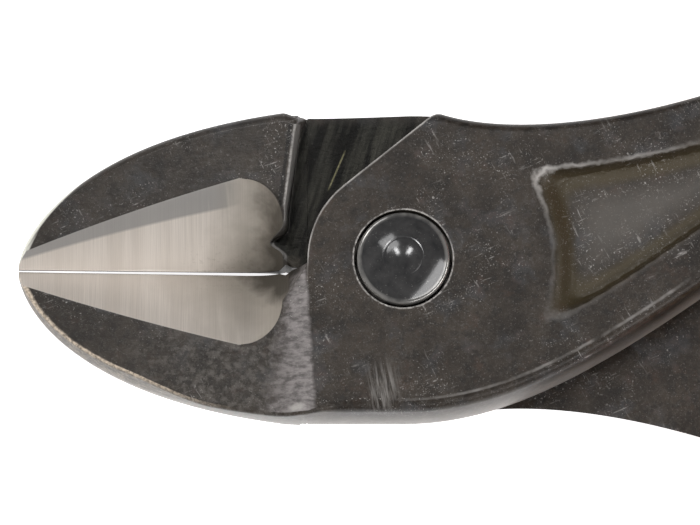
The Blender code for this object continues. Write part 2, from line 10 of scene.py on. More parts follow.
import bpy
import numpy as np
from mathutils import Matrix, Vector


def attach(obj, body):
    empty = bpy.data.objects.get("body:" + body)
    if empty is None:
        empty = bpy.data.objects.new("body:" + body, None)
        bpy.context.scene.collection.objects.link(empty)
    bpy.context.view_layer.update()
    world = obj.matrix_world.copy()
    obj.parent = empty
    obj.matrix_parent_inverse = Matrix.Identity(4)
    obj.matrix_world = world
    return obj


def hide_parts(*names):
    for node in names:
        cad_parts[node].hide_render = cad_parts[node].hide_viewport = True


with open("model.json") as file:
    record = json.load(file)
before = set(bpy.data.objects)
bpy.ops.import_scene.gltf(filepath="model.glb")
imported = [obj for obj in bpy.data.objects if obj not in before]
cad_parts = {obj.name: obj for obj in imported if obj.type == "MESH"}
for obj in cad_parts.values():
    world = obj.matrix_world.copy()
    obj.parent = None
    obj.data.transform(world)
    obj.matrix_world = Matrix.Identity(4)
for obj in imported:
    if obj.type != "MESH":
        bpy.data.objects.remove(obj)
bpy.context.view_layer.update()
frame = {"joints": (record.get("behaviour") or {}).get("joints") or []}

# Levers: two halves forged from tool steel and blackened, each with a jaw, a half-thick joint
# plate and a shank that runs as a tang into its handle. The cutting facets are ground bright
# afterwards, and the plates are milled flat where they slide on each other.
MM = 0.001
pivot = np.array(frame["joints"][0]["pos_m"])
overall_length, tip_reach = 160.0, 30.65
jaw_half_width, heel_setback = 12.09, 9.7
nose_reach, nose_fullness, belly_setback, belly_half_width = 30.56, 1.72, 28.03, 9.88
tip_gap, heel_gap = 0.1, 0.26
notch_x, notch_half, notch_depth = -9.3, 0.5, 0.3
face_tip, face_heel, face_crown = -0.35, 4.18, 0.32
edge_tip, edge_heel, edge_flat = -1.5, -3.3, 0.05
back_tip, back_heel, relief_width = -2.7, -4.6, 0.4
plate_top, lap_z, pocket_z = 5.0, 0.15, 0.45
joint_radius, joint_half_width, shoulder_angle = 7.55, 12.05, math.radians(51.3)
plate_half_width, heel_flare = 12.5, 0.36
heel_bite, bite_at, bite_half = 1.15, 2.1, 0.62
flare_from, flare_length, growth_from, growth_length = 10.2, 1.7, 10.3, 1.9
heel_clearance, heel_lean, heel_edge_round, heel_steepness = 1.9, 0.13, 0.16, 18.0
slope_length, thinnest = 2.9, 0.25
heel_run, heel_corner_round, heel_corner_length, heel_fade = 0.24, 0.75, 1.35, 3.0
jaw_foot_draft, plate_draft_length, machined_break = 0.2, 16.0, 0.09
lip_start, lip_rise, lip_end, lip_fall = -22.0, 7.0, -10.0, 4.0
runout_radius, runout_offset, runout_flare, runout_bright = 3.45, 3.2, 0.7, 0.97
wall_x = -joint_radius - heel_clearance
runout_start = wall_x - runout_radius
bend_start, bend_hold = -13.5, 0.45
# Pairs: the front lever first, then the rear one.
forged_rounds, forged_drafts, jaw_rounds = (0.85, 1.5), (0.35, 0.6), (0.3, 0.8)
plate_foot_drafts, heel_corners, jaw_lips = (0.0, 0.42), (0.15, 0.44), (0.72, 0.0)
grip_start, grip_splay, grip_bow_y, grip_end_y = 34.0, math.radians(21.8), 17.9, 14.9
grip_start_y = 11.499
shank_bend_x, shank_low, back_drop, back_low = 11.0, (20.5, -4.6), (6.5, 2.05), (21.0, 11.8)
tang_share, tang_front, tang_end = 0.9, 5.5, 3.0
crotch_clearance, joggle_length = 1.2, 9.0
panel_depth, panel_radius, panel_rim = 1.0, 12.0, 4.1
panel_end_slope, panel_side_slope, panel_corner = 1.7, 0.5, 0.9
panel_from, panel_fade = 3.0, 0.8
bore_head, bore_shank, bore_tail, bore_seat = 3.9, 3.05, 3.65, 3.45


def ease(t):
    """0 below 0, 1 above 1, and the cubic 3t^2 - 2t^3 between."""
    t = np.clip(t, 0, 1)
    return t * t * (3 - 2 * t)


def bezier(p0, p1, p2, p3, t):
    """Points at shares t of the cubic curve with these four handles."""
    t = np.asarray(t)[..., None]
    ends = (1 - t) ** 3 * np.array(p0) + t**3 * np.array(p3)
    return ends + 3 * (1 - t) ** 2 * t * np.array(p1) + 3 * (1 - t) * t**2 * np.array(p2)


def grip_line(t):
    """Middle of the upper handle at share t of its curve, and the level direction away from the
    other handle: a cubic that leaves the guard at the splay angle and ends nearly straight."""
    reach = overall_length - tip_reach - grip_start
    p0 = np.array([grip_start, grip_start_y])
    p1 = p0 + 0.31 * reach * np.array([math.cos(grip_splay), math.sin(grip_splay)])
    p2 = np.array([grip_start + 0.64 * reach, grip_bow_y])
    p3 = np.array([grip_start + reach, grip_end_y])
    middle = bezier(p0, p1, p2, p3, t)
    t = np.asarray(t)[..., None]
    slope = (1 - t) ** 2 * (p1 - p0) + 2 * (1 - t) * t * (p2 - p1) + t**2 * (p3 - p2)
    slope /= np.linalg.norm(slope, axis=-1, keepdims=True)
    return middle, np.stack([-slope[..., 1], slope[..., 0]], axis=-1)


def plan_edges():
    """Both plan edges of a lever as (x, y) runs. The low one is the jaw curve, the plate side, the
    shank and the tang; the high one is the cutting line, the milled round about the pivot, the
    straight shoulder tangent to it, the shank back and the tang."""
    middle, out = grip_line(np.linspace(0, tang_share, 60))
    half = np.linspace(tang_front, tang_end, 60)[:, None]
    tang_low, tang_high = middle - half * out, middle + half * out
    width = joint_half_width
    belly = (-belly_setback, -belly_half_width)
    heel = (-heel_setback, -jaw_half_width)
    nose = (-nose_reach, 0), (-nose_reach, -nose_fullness)
    jaw = bezier(*nose, belly, heel, np.linspace(0, 1, 400))
    side = -plate_half_width
    plate = np.array([(-joint_radius, side)])
    share = np.linspace(0, 1, 200)
    shank = bezier((0, side), (shank_bend_x, side), shank_low, tang_low[0], share)
    low = np.concatenate([jaw, plate, shank, tang_low[1:]])
    cut_x = np.linspace(-tip_reach, -joint_radius - 0.01, 500)
    cut_y = -np.interp(cut_x, [-tip_reach, -heel_setback], [tip_gap / 2, heel_gap / 2])
    cut_y -= notch_depth * np.maximum(0, 1 - np.abs(cut_x - notch_x) / notch_half)
    turn = np.linspace(math.pi, math.pi - shoulder_angle, 90)
    milled = joint_radius * np.column_stack([np.cos(turn), np.sin(turn)])
    corner_x = (joint_radius - width * math.sin(turn[-1])) / math.cos(turn[-1])
    bend = (corner_x + back_drop[0], width - back_drop[1])
    back = bezier((corner_x, width), bend, back_low, tang_high[0], share)
    high = np.concatenate([np.column_stack([cut_x, cut_y]), milled, back, tang_high[1:]])
    return low, high, corner_x


low_edge, high_edge, corner_x = plan_edges()
crotch_x = float(np.interp(crotch_clearance, low_edge[420:620, 1], low_edge[420:620, 0]))


def low_y(x):
    """The low plan edge at x."""
    return np.interp(x, low_edge[:, 0], low_edge[:, 1])


def high_y(x):
    """The high plan edge at x."""
    return np.interp(x, high_edge[:, 0], high_edge[:, 1])


def square_to(edge, x):
    """Cosine of an edge's slope at x, which turns a distance along y into one square to it."""
    slope = np.gradient(edge[:, 1]) / np.maximum(np.gradient(edge[:, 0]), 1e-6)
    return 1 / np.sqrt(1 + np.interp(x, edge[:, 0], slope) ** 2)


def joggle(x):
    """How far the shank drops from its half of the joint to the middle of the handle."""
    return (plate_top + lap_z) / 2 * ease((x - crotch_x) / joggle_length)


def along_jaw(x, at_tip, at_heel):
    """A value that changes evenly from the tip to the heel."""
    return at_tip + (at_heel - at_tip) * (x + tip_reach) / (tip_reach - heel_setback)


def cut_height(x):
    """Height of the cutting edge."""
    return along_jaw(x, edge_tip, edge_heel)


def ramp_share(x):
    """0 on the jaw, 1 on the joint plate, and a smooth rise over the slope between."""
    return ease((x + joint_radius + slope_length) / slope_length)


def jaw_face(x, ramped):
    """Height of a jaw's face: straight from tip to heel with a slight crown between, and climbing
    to the joint plate where the plate lies in front."""
    share = along_jaw(x, 0, 1)
    face = along_jaw(x, face_tip, face_heel) + face_crown * 4 * share * (1 - share)
    return face + (plate_top - face) * ramp_share(x) * ramped


def jaw_rear(x, ramped):
    """Height of a jaw's flat back, which sinks to the joint plate where the plate lies behind."""
    rear = along_jaw(x, back_tip, back_heel)
    return rear + (-plate_top - rear) * ramp_share(x) * ramped


def facet_border(x, ramped):
    """Distance from the cutting line to the facet's outer border: where the ground plane meets the
    face, closed by a round at the heel."""
    past = np.clip(x - runout_start, 0, runout_radius)
    to_face = jaw_face(x, ramped) - cut_height(x)
    return np.minimum(to_face, runout_offset + np.sqrt(runout_radius**2 - past**2))


def runout_end(d):
    """Length of a facet's round end at distance d from the cutting line."""
    beyond = np.maximum(d - runout_offset, 0)
    end = np.sqrt(np.maximum(runout_radius**2 - beyond**2, 1e-9))
    return end + runout_flare * np.maximum(runout_offset - d, 0)


def jaw_front(x, d, ramped):
    """Front of a jaw at distance d from the cutting line: a 45 degree ground plane up to the face,
    which curls up to it over the round end."""
    face, plane = jaw_face(x, ramped), cut_height(x) + d
    curl = np.clip((x - runout_start) / runout_end(d), 0, 1) ** 3
    return np.minimum(face, plane + np.maximum(face - plane, 0) * curl)


def facet_inside(x, d, ramped):
    """Distance inside the border of a ground facet: to the face, and to the round end in plan."""
    to_face = jaw_face(x, ramped) - cut_height(x) - d
    to_end = np.minimum(runout_start + runout_bright * runout_end(d), wall_x + 0.4) - x
    return np.minimum(to_face, to_end)


def back_border(x, ramped):
    """Distance from the cutting line to the border of the small relief facet on the back."""
    fade = 1 - ease((x + heel_setback + slope_length) / slope_length)
    return relief_width + (cut_height(x) - jaw_rear(x, ramped)) * fade


def jaw_back(x, d, ramped):
    """Back of a jaw: a short relief facet from the cutting edge down to the flat back."""
    edge, rear = cut_height(x), jaw_rear(x, ramped)
    share = (d - edge_flat) / (back_border(x, ramped) - edge_flat)
    return edge - (edge - rear) * np.clip(share, 0, 1)


def heel_wall(d):
    """Plan line of the heel wall, which leans outwards, has a round bite near the cutting line and
    flares where it meets the outside."""
    line = np.interp(d, [0, 3, 4.4, 16.4], [-0.2, 0, 0, 12 * heel_lean])
    line = line - heel_bite * np.exp(-(((d - bite_at) / bite_half) ** 2))
    return wall_x + line + heel_flare * ease((d - flare_from) / flare_length)


def heel_growth(d):
    """How much the round on the heel wall's edge grows towards the outer corner of the jaw."""
    return heel_corner_round * ease((d - growth_from) / growth_length)


def wall_drop(t, d):
    """Depth of the heel wall at distance t past its edge: a small round, then a steep wall."""
    r = heel_edge_round + heel_growth(d)
    t = t + heel_growth(d)
    bend = r - np.sqrt(np.maximum(r * r - np.clip(t, 0, r) ** 2, 0))
    return bend + np.maximum(t - r, 0) * heel_steepness


def panel_inside(x, y):
    """Distance inside the border of the sunk shank panel, and the slope there: the round end about
    the pivot and both rims, joined by rounded corners."""
    end = np.hypot(x, y) - panel_radius
    low_rim = (y - low_y(x)) * square_to(low_edge, x)
    high_rim = (high_y(x) - y) * square_to(high_edge, x)
    rim = np.minimum(low_rim, high_rim) - panel_rim
    a, b = (np.exp(-np.clip(part / panel_corner, -40, 40)) for part in (end, rim))
    slope = (a * panel_end_slope + b * panel_side_slope) / (a + b)
    return -panel_corner * np.log(a + b), slope


def panel_share(x, y):
    """Share of the panel's full depth: a long slope on its round end, short ones on its rims."""
    inside, slope = panel_inside(x, y)
    far = (crotch_x - x) / panel_fade
    return np.where(x > panel_from, ease(np.minimum(inside / slope, far)), 0)


def lever_stations():
    """Stations along a lever: close at the tip, on the run-out, at the heel wall and on the milled
    round, wider along the shank and the tang."""
    first = -nose_reach + 0.04
    tip = first + (bend_start - first) * np.linspace(0, 1, 70) ** 1.7
    wall = wall_x + np.array([0, .04, .08, .11, .135, .15, .16, .18, .21, .24, .27, .31, .36, .42])
    turn = np.linspace(0, shoulder_angle, 26)
    runs = [
        tip,
        np.linspace(bend_start, wall_x - 0.02, 34)[1:],
        wall,
        np.linspace(wall[-1], -joint_radius - 0.015, 12)[1:],
        -joint_radius * np.cos(turn),
        np.linspace(-joint_radius * math.cos(shoulder_angle), corner_x, 26)[1:],
        corner_x + np.array([0.08, 0.2, 0.4]),
        np.linspace(corner_x + 0.4, grip_start, 104)[1:],
        np.linspace(grip_start, low_edge[-1, 0], 22)[1:],
    ]
    return np.concatenate(runs)


def lever_skin(front):
    """Rings round a lever, one per station: outer side, low edge, inner side and high edge. The
    outer side is the one its joint plate lies on, so the rear lever is drawn turned over. Returns
    the points and the masks that the finish follows."""
    s = lever_stations()[:, None]
    half_count = 48
    pairs = (forged_rounds, forged_drafts, jaw_rounds, plate_foot_drafts, heel_corners, jaw_lips)
    forged_round, forged_draft, jaw_round, plate_foot_draft, heel_corner, jaw_lip = (
        pair[not front] for pair in pairs
    )
    t = np.linspace(0, 2, 2 * half_count)
    bend_at = [bend_start, wall_x - 0.1, wall_x + bend_hold, -joint_radius]
    bend = np.interp(s, bend_at, [0, 1, 1, 0])
    forged_edge = np.where(s < corner_x, joint_half_width, high_y(s))
    inside = forged_edge - high_y(s)
    forged = (inside < forged_draft + forged_round) & (s > -joint_radius)
    milled = np.where(s < -joint_radius, 0.02, machined_break)
    high_inset = np.where(forged, forged_draft + forged_round - inside, milled)
    room = np.maximum(high_y(s) - low_y(s), 0.05)
    low_round = jaw_round + (forged_round - jaw_round) * ease((s + joint_radius) / 3)
    low_round = np.minimum(low_round, 0.3 * room)
    outer_x = s + bend * (heel_wall(joint_half_width) - wall_x)
    lip = jaw_lip * ease((outer_x - lip_start) / lip_rise)
    lip = lip * (1 - ease((outer_x - lip_end) / lip_fall))
    low_draft = np.minimum(forged_draft, 0.1 * room) - lip
    jaw = 1 - ease((s - wall_x - heel_edge_round) / heel_run)
    foot_round = 0.04 + (np.minimum(jaw_rounds[1], 0.3 * room) - 0.04) * jaw * (room > 0.3)
    past_heel = outer_x - heel_wall(joint_half_width)
    heel_inset = heel_corner * ease(past_heel / heel_corner_length + 1)
    foot_draft = jaw_foot_draft + heel_inset
    foot_draft = plate_foot_draft + (foot_draft - plate_foot_draft) * jaw
    on_plate = ease((past_heel - 0.4) / heel_fade)
    foot_draft = np.minimum(foot_draft, 0.1 * room) * (1 - on_plate)
    kept = 1 - ease((s + joint_radius) / plate_draft_length)
    foot_draft += plate_foot_draft * on_plate * kept

    def crease(x, ground):
        """Where the points on a side part in two runs: the border of the ground or the relief
        facet, which eases to the middle of the plate."""
        near = np.minimum(x, wall_x - 0.7)
        border = -facet_border(near, front) if ground else -back_border(near, not front)
        width = high_y(near) - low_y(near)
        border = np.maximum(border, low_y(near) + 0.35 * width * (near < -20) + 0.02)
        middle = (high_y(x) + low_y(x)) / 2
        return border + (middle - border) * ease((x + joint_radius) / 6)

    def across(x, ground, high_inset, low_inset):
        """Points over a side, evenly from the high edge to the crease and on to the low edge."""
        top, foot, border = high_y(x) - high_inset, low_y(x) + low_inset, crease(x, ground)
        border = np.clip(border, foot, top)
        return top + (border - top) * np.clip(t, 0, 1) + (foot - border) * np.clip(t - 1, 0, 1)

    def placed(ground, high_inset, low_inset):
        """Points over a side, their stations bent along the heel wall in four rounds."""
        x = s + 0 * t
        for _ in range(4):
            y = across(x, ground, high_inset, low_inset)
            x = s + bend * (heel_wall(-y) - wall_x)
        return x, across(x, ground, high_inset, low_inset)

    def outer_z(x, y):
        """The side of the joint plate: the jaw, then the plate less its panel and its joggle."""
        jaw_z = jaw_front(x, -y, True) if front else -jaw_back(x, -y, True)
        plate_z = plate_top - panel_depth * panel_share(x, y) - joggle(x)
        return np.where(x < -joint_radius, jaw_z, plate_z)

    def inner_z(x, y):
        """The lap side: the jaw, the heel wall down to the pocket, then the lap face."""
        jaw_z = jaw_back(x, -y, False) if front else -jaw_front(x, -y, False)
        jaw_z = np.maximum(jaw_z, np.minimum(pocket_z, jaw_z + wall_drop(x - heel_wall(-y), -y)))
        jaw_z = np.minimum(jaw_z, outer_z(x, y) - thinnest)
        return np.where(x < -joint_radius, jaw_z, lap_z - joggle(x))

    xo, yo = placed(front, high_inset, low_draft + low_round)
    xi, yi = placed(not front, 0.03 + 0 * s, foot_draft + foot_round)
    zo, zi = outer_z(xo, yo), inner_z(xi, yi)
    turn = np.linspace(0, math.pi / 2, 8)[None, 1:]
    low_xo, low_zo, low_zi = xo[:, -1:], zo[:, -1:], zi[:, -1:]
    round_y = yo[:, -1:] - low_round * np.sin(turn)
    round_z = low_zo - low_round * (1 - np.cos(turn))
    w = np.linspace(0, 1, 10)[None, 1:]
    bulge = heel_inset * jaw
    jaw_foot = bulge + (foot_draft - bulge) * (2 * w - 1)
    jaw_lean = np.where(w < 0.5, low_draft + (bulge - low_draft) * 2 * w, jaw_foot)
    plate_lean = low_draft * (1 - w) + foot_draft * w
    wall_x_run = low_xo + (xi[:, -1:] - low_xo) * w
    wall_y = low_y(wall_x_run) + plate_lean + jaw * (jaw_lean - plate_lean)
    wall_z = round_z[:, -1:] + (low_zi + foot_round - round_z[:, -1:]) * w
    foot_turn = np.linspace(0, math.pi / 2, 6)[None, 1:-1]
    foot_y = wall_y[:, -1:] + foot_round * (1 - np.cos(foot_turn))
    foot_z = low_zi + foot_round * (1 - np.sin(foot_turn))
    # The high side: a milled wall with a broken edge, or the forged side with its draft and round,
    # of which the shoulder leaves less and less towards the corner.
    h = np.linspace(0, 1, 8)[None, :]
    foot = zi[:, :1] + 0.03
    bulk = zo[:, :1] - forged_round
    on_draft = inside < forged_draft
    lean = np.clip(1 - (inside - forged_draft) / forged_round, 0, 1)
    round_meet = bulk + forged_round * np.sqrt(1 - lean**2)
    meet = np.where(on_draft, foot + (bulk - foot) * inside / forged_draft, round_meet)
    past_corner = s > corner_x
    wall_top = np.where(forged, np.where(past_corner, bulk, meet), zo[:, :1] - milled)
    rise_x = xi[:, :1] + (xo[:, :1] - xi[:, :1]) * h
    rise_y = high_y(rise_x) - np.where(past_corner, forged_draft, 0) * h
    rise_z = foot + (wall_top - foot) * h
    first = np.where(past_corner | on_draft, 0, np.arccos(lean))
    top_turn = first + (math.pi / 2 - first) * np.linspace(0, 1, 10)[None, 1:-1]
    forged_y = forged_edge - forged_draft - forged_round * (1 - np.cos(top_turn))
    forged_z = bulk + forged_round * np.sin(top_turn)
    top_y = np.where(forged, forged_y, yo[:, :1] + milled * np.cos(top_turn))
    top_z = np.where(forged, forged_z, zo[:, :1] - milled + milled * np.sin(top_turn))
    ones = np.ones_like
    low_xs = [low_xo * ones(turn), wall_x_run, xi[:, -1:] * ones(foot_turn)]
    xs = [xo, *low_xs, xi[:, ::-1], rise_x, xo[:, :1] * ones(top_turn)]
    ys = [yo, round_y, wall_y, foot_y, yi[:, ::-1], rise_y, top_y]
    zs = [zo, round_z, wall_z, foot_z, zi[:, ::-1], rise_z, top_z]
    points = np.stack([np.concatenate(part, axis=1) for part in (xs, ys, zs)], axis=-1)

    # Distances to the edges that wear bright, or that carry a painted reflection along the rear
    # nose
    #     rim, in millimetres, and far away elsewhere.
    far = 9.0
    reach = (high_y(xo) - yo) * square_to(high_edge, xo)
    shoulder_o = np.where((xo > -joint_radius) & (xo < corner_x + 0.3), reach, far)
    outside_o = (yo - low_y(xo) + lip) * square_to(low_edge, xo)
    past = xi - heel_wall(-yi)
    heel_i = np.where(xi < -joint_radius, past + 0.8 * heel_growth(-yi), far)
    panel_o = np.where(xo > panel_from, panel_inside(xo, yo)[0], -far)
    hidden = far * (not front)
    slope_at = [0, 3, 8, 12]
    slope_left = np.interp(-yo, slope_at, [-8.9, -9.4, -10.4, -11.1])
    slope_right = np.interp(-yo, slope_at, [-7.7, -7.5, -7.2, -6.9])
    ramp_o = (xo - slope_left) * front - hidden
    brink_o = slope_right - xo
    # Shares of the oil film in the heel pocket and on the lap face by the pivot; the share grows
    # away from the low edge as painted shade.
    pocket_i = np.clip((past - 0.34) / 0.15, 0, 1) * (xi < -joint_radius)
    pocket_i = pocket_i + (xi > -joint_radius) * (1 - ease((xi - 5) / 4))
    pocket_i = pocket_i * (0.45 + 0.55 * ease((yi - low_y(xi) - foot_round - 0.1) / 1.1))
    ground_o = facet_inside(xo, -yo, True) if front else 0 * xo - far
    ground_i = 0 * xi - far if front else np.minimum(facet_inside(xi, -yi, False), 0.1 - past)
    gap = points.shape[1] - 4 * half_count
    middle_gap = turn.shape[1] + w.shape[1] + foot_turn.shape[1]
    low_gap, high_gap = np.zeros((len(s), middle_gap)), np.zeros((len(s), gap - middle_gap))

    def low_side(on_turn, on_wall, on_foot):
        """Values down the low side: on its round, its wall and the round at its foot."""
        parts = zip((on_turn, on_wall, on_foot), (turn, w, foot_turn))
        return np.concatenate([part + 0 * shape + 0 * s for part, shape in parts], axis=1)

    on_round = low_side(low_round * (1 - np.sin(turn)), 0, 0)
    # Shares down the front lever's low side wall, for painted light that brightens it towards the
    # lap side.
    painted_side_light = low_side(0, w**1.6, 1)
    rim_low = low_side(far, 0, foot_round * (1 - np.cos(foot_turn)))
    rim_i = (yi - low_y(xi)) * square_to(low_edge, xi)
    on_shoulder = np.concatenate([(1 - h) * (plate_top - lap_z) + 0 * s, high_y(s) - top_y], axis=1)
    on_shoulder = np.where((s > -joint_radius) & (s < corner_x + 0.3), on_shoulder, far)

    def around(outer, low, inner, high):
        """Values round the rings, in the order of their points."""
        return np.concatenate([outer, low, inner[:, ::-1], high], axis=1)

    away_o, away_low, away_i, away_high = (0 * part + far for part in (xo, low_gap, xi, high_gap))
    masks = {
        "shoulder": around(shoulder_o, away_low, away_i, on_shoulder),
        "outside": around(outside_o + hidden, on_round + hidden, away_i, away_high),
        "heel": around(away_o, away_low, heel_i, away_high),
        "rim": around(away_o, rim_low + far * front, rim_i + far * front, away_high),
        "panel": around(panel_o, -away_low, -away_i, -away_high),
        "ground": around(ground_o, -away_low, ground_i, -away_high),
        "side": around(0 * xo, painted_side_light * front, 0 * xi, high_gap),
        "ramp": around(ramp_o, -away_low, -away_i, -away_high),
        "brink": around(brink_o, -away_low, -away_i, -away_high),
        "pocket": around(0 * xo, low_gap, np.clip(pocket_i, 0, 1), high_gap),
    }
    return points, masks


def put(name, data):
    """A new object in the scene that holds the data."""
    made = bpy.data.objects.new(name, data)
    bpy.context.scene.collection.objects.link(made)
    return made


def skin_mesh(name, rings, masks=()):
    """A closed mesh from rings of equal length: quads between neighbours and a fan of triangles on
    the first and the last ring, turned to face outwards. Masks become point attributes."""
    count, around = rings.shape[:2]
    corner = np.arange(count * around).reshape(count, around)
    a, b = corner[:-1], corner[1:]
    quads = np.stack([a, np.roll(a, -1, 1), np.roll(b, -1, 1), b], axis=-1).reshape(-1, 4)
    points = np.concatenate([rings.reshape(-1, 3), [rings[0].mean(0), rings[-1].mean(0)]])
    first, last = corner[0], corner[-1]
    hub = np.full(around, count * around)
    fans = np.concatenate([
        np.stack([np.roll(first, -1), first, hub], axis=-1),
        np.stack([last, np.roll(last, -1), hub + 1], axis=-1),
    ])
    p = points[quads]
    volume = sum((p[:, 0] * np.cross(p[:, i], p[:, i + 1])).sum() for i in (1, 2))
    if volume < 0:
        quads, fans = quads[:, ::-1], fans[:, ::-1]
    mesh = bpy.data.meshes.new(name)
    mesh.vertices.add(len(points))
    mesh.vertices.foreach_set("co", points.astype(np.float32).ravel())
    loops = np.concatenate([quads.ravel(), fans.ravel()])
    sizes = np.concatenate([np.full(len(quads), 4), np.full(len(fans), 3)])
    mesh.loops.add(len(loops))
    mesh.loops.foreach_set("vertex_index", loops.astype(np.int32))
    mesh.polygons.add(len(sizes))
    mesh.polygons.foreach_set("loop_start", (np.cumsum(sizes) - sizes).astype(np.int32))
    mesh.update(calc_edges=True)
    for key, mask in dict(masks).items():
        values = np.concatenate([mask.ravel(), [0, 0]]).astype(np.float32)
        mesh.attributes.new(key, "FLOAT", "POINT").data.foreach_set("value", values)
    return put(name, mesh)


def shade(piece, angle=35):
    """Smooth shading that keeps edges sharper than the angle."""
    piece.data.polygons.foreach_set("use_smooth", np.ones(len(piece.data.polygons), bool))
    piece.data.set_sharp_from_angle(angle=math.radians(angle))


def turned_ring(profile, steps):
    """A closed solid of revolution as rings: (radius, height) points carried round the pivot."""
    angle = np.linspace(0, 2 * math.pi, steps, endpoint=False)
    radius, height = np.array(profile).T
    x, y = np.outer(radius, np.cos(angle)), np.outer(radius, np.sin(angle))
    return np.stack([x, y, np.outer(height, np.ones(steps))], axis=-1)


def node(tree, kind, inputs=None, **settings):
    """A shader node with its settings made and its inputs set, or linked where one is a socket."""
    made = tree.nodes.new("ShaderNode" + kind)
    for key, value in settings.items():
        setattr(made, key, value)
    for key, value in (inputs or {}).items():
        if isinstance(value, bpy.types.NodeSocket):
            tree.links.new(value, made.inputs[key])
        else:
            made.inputs[key].default_value = value
    return made


def new_material(name):
    """A material with one Principled shader; returns it, its tree, the shader and the object
    coordinates in millimetres."""
    made = bpy.data.materials.new(name)
    made.use_nodes = True
    tree = made.node_tree
    shader = tree.nodes["Principled BSDF"]
    place = node(tree, "TexCoord").outputs["Object"]
    where = node(tree, "VectorMath", {0: place, "Scale": 1 / MM}, operation="SCALE").outputs[0]
    return made, tree, shader, where


def noise(where, scale, detail=3.0, rough=0.55, stretch=(1, 1, 1), turn=0.0):
    """Noise in cycles per millimetre, squeezed along the axes by stretch and turned about Z."""
    size = tuple(1 / squeeze for squeeze in stretch)
    turned = {"Vector": where, "Scale": size, "Rotation": (0, 0, turn)}
    spread = node(where.id_data, "Mapping", turned, vector_type="TEXTURE")
    kind = {"Vector": spread.outputs[0], "Scale": scale, "Detail": detail, "Roughness": rough}
    return node(where.id_data, "TexNoise", kind).outputs["Fac"]


def limits(value, low, high, to_low=0.0, to_high=1.0):
    """The value from low to high, carried onto to_low to to_high and held there."""
    span = {"Value": value, "From Min": low, "From Max": high, "To Min": to_low, "To Max": to_high}
    return node(value.id_data, "MapRange", span).outputs[0]


def sums(operation, a, b=0.0):
    """One Math node, on a socket and a socket or number."""
    return node(a.id_data, "Math", {0: a, 1: b}, operation=operation).outputs[0]


def times(a, b):
    return sums("MULTIPLY", a, b)


def plus(a, b):
    return sums("ADD", a, b)


def minus(a, b):
    return sums("SUBTRACT", a, b)


def larger(a, b):
    return sums("MAXIMUM", a, b)


def blend(share, a, b):
    """From a to b by share; each is a socket or a colour as (red, green, blue)."""
    a, b = ((*colour, 1) if isinstance(colour, tuple) else colour for colour in (a, b))
    made = node(share.id_data, "Mix", {"Factor": share, 6: a, 7: b}, data_type="RGBA")
    return made.outputs[2]


def mask(tree, name):
    """A value that the mesh carries at each point."""
    return node(tree, "Attribute", attribute_name=name).outputs["Fac"]


def bumps(height, strength, depth):
    """Surface normals from a height whose full range is depth millimetres."""
    sizes = {"Strength": strength, "Distance": depth * MM, "Height": height}
    return node(height.id_data, "Bump", sizes).outputs[0]


def feed(shader, inputs):
    """Links each value to the shader's input of that name."""
    for key, value in inputs.items():
        shader.id_data.links.new(value, shader.inputs[key])


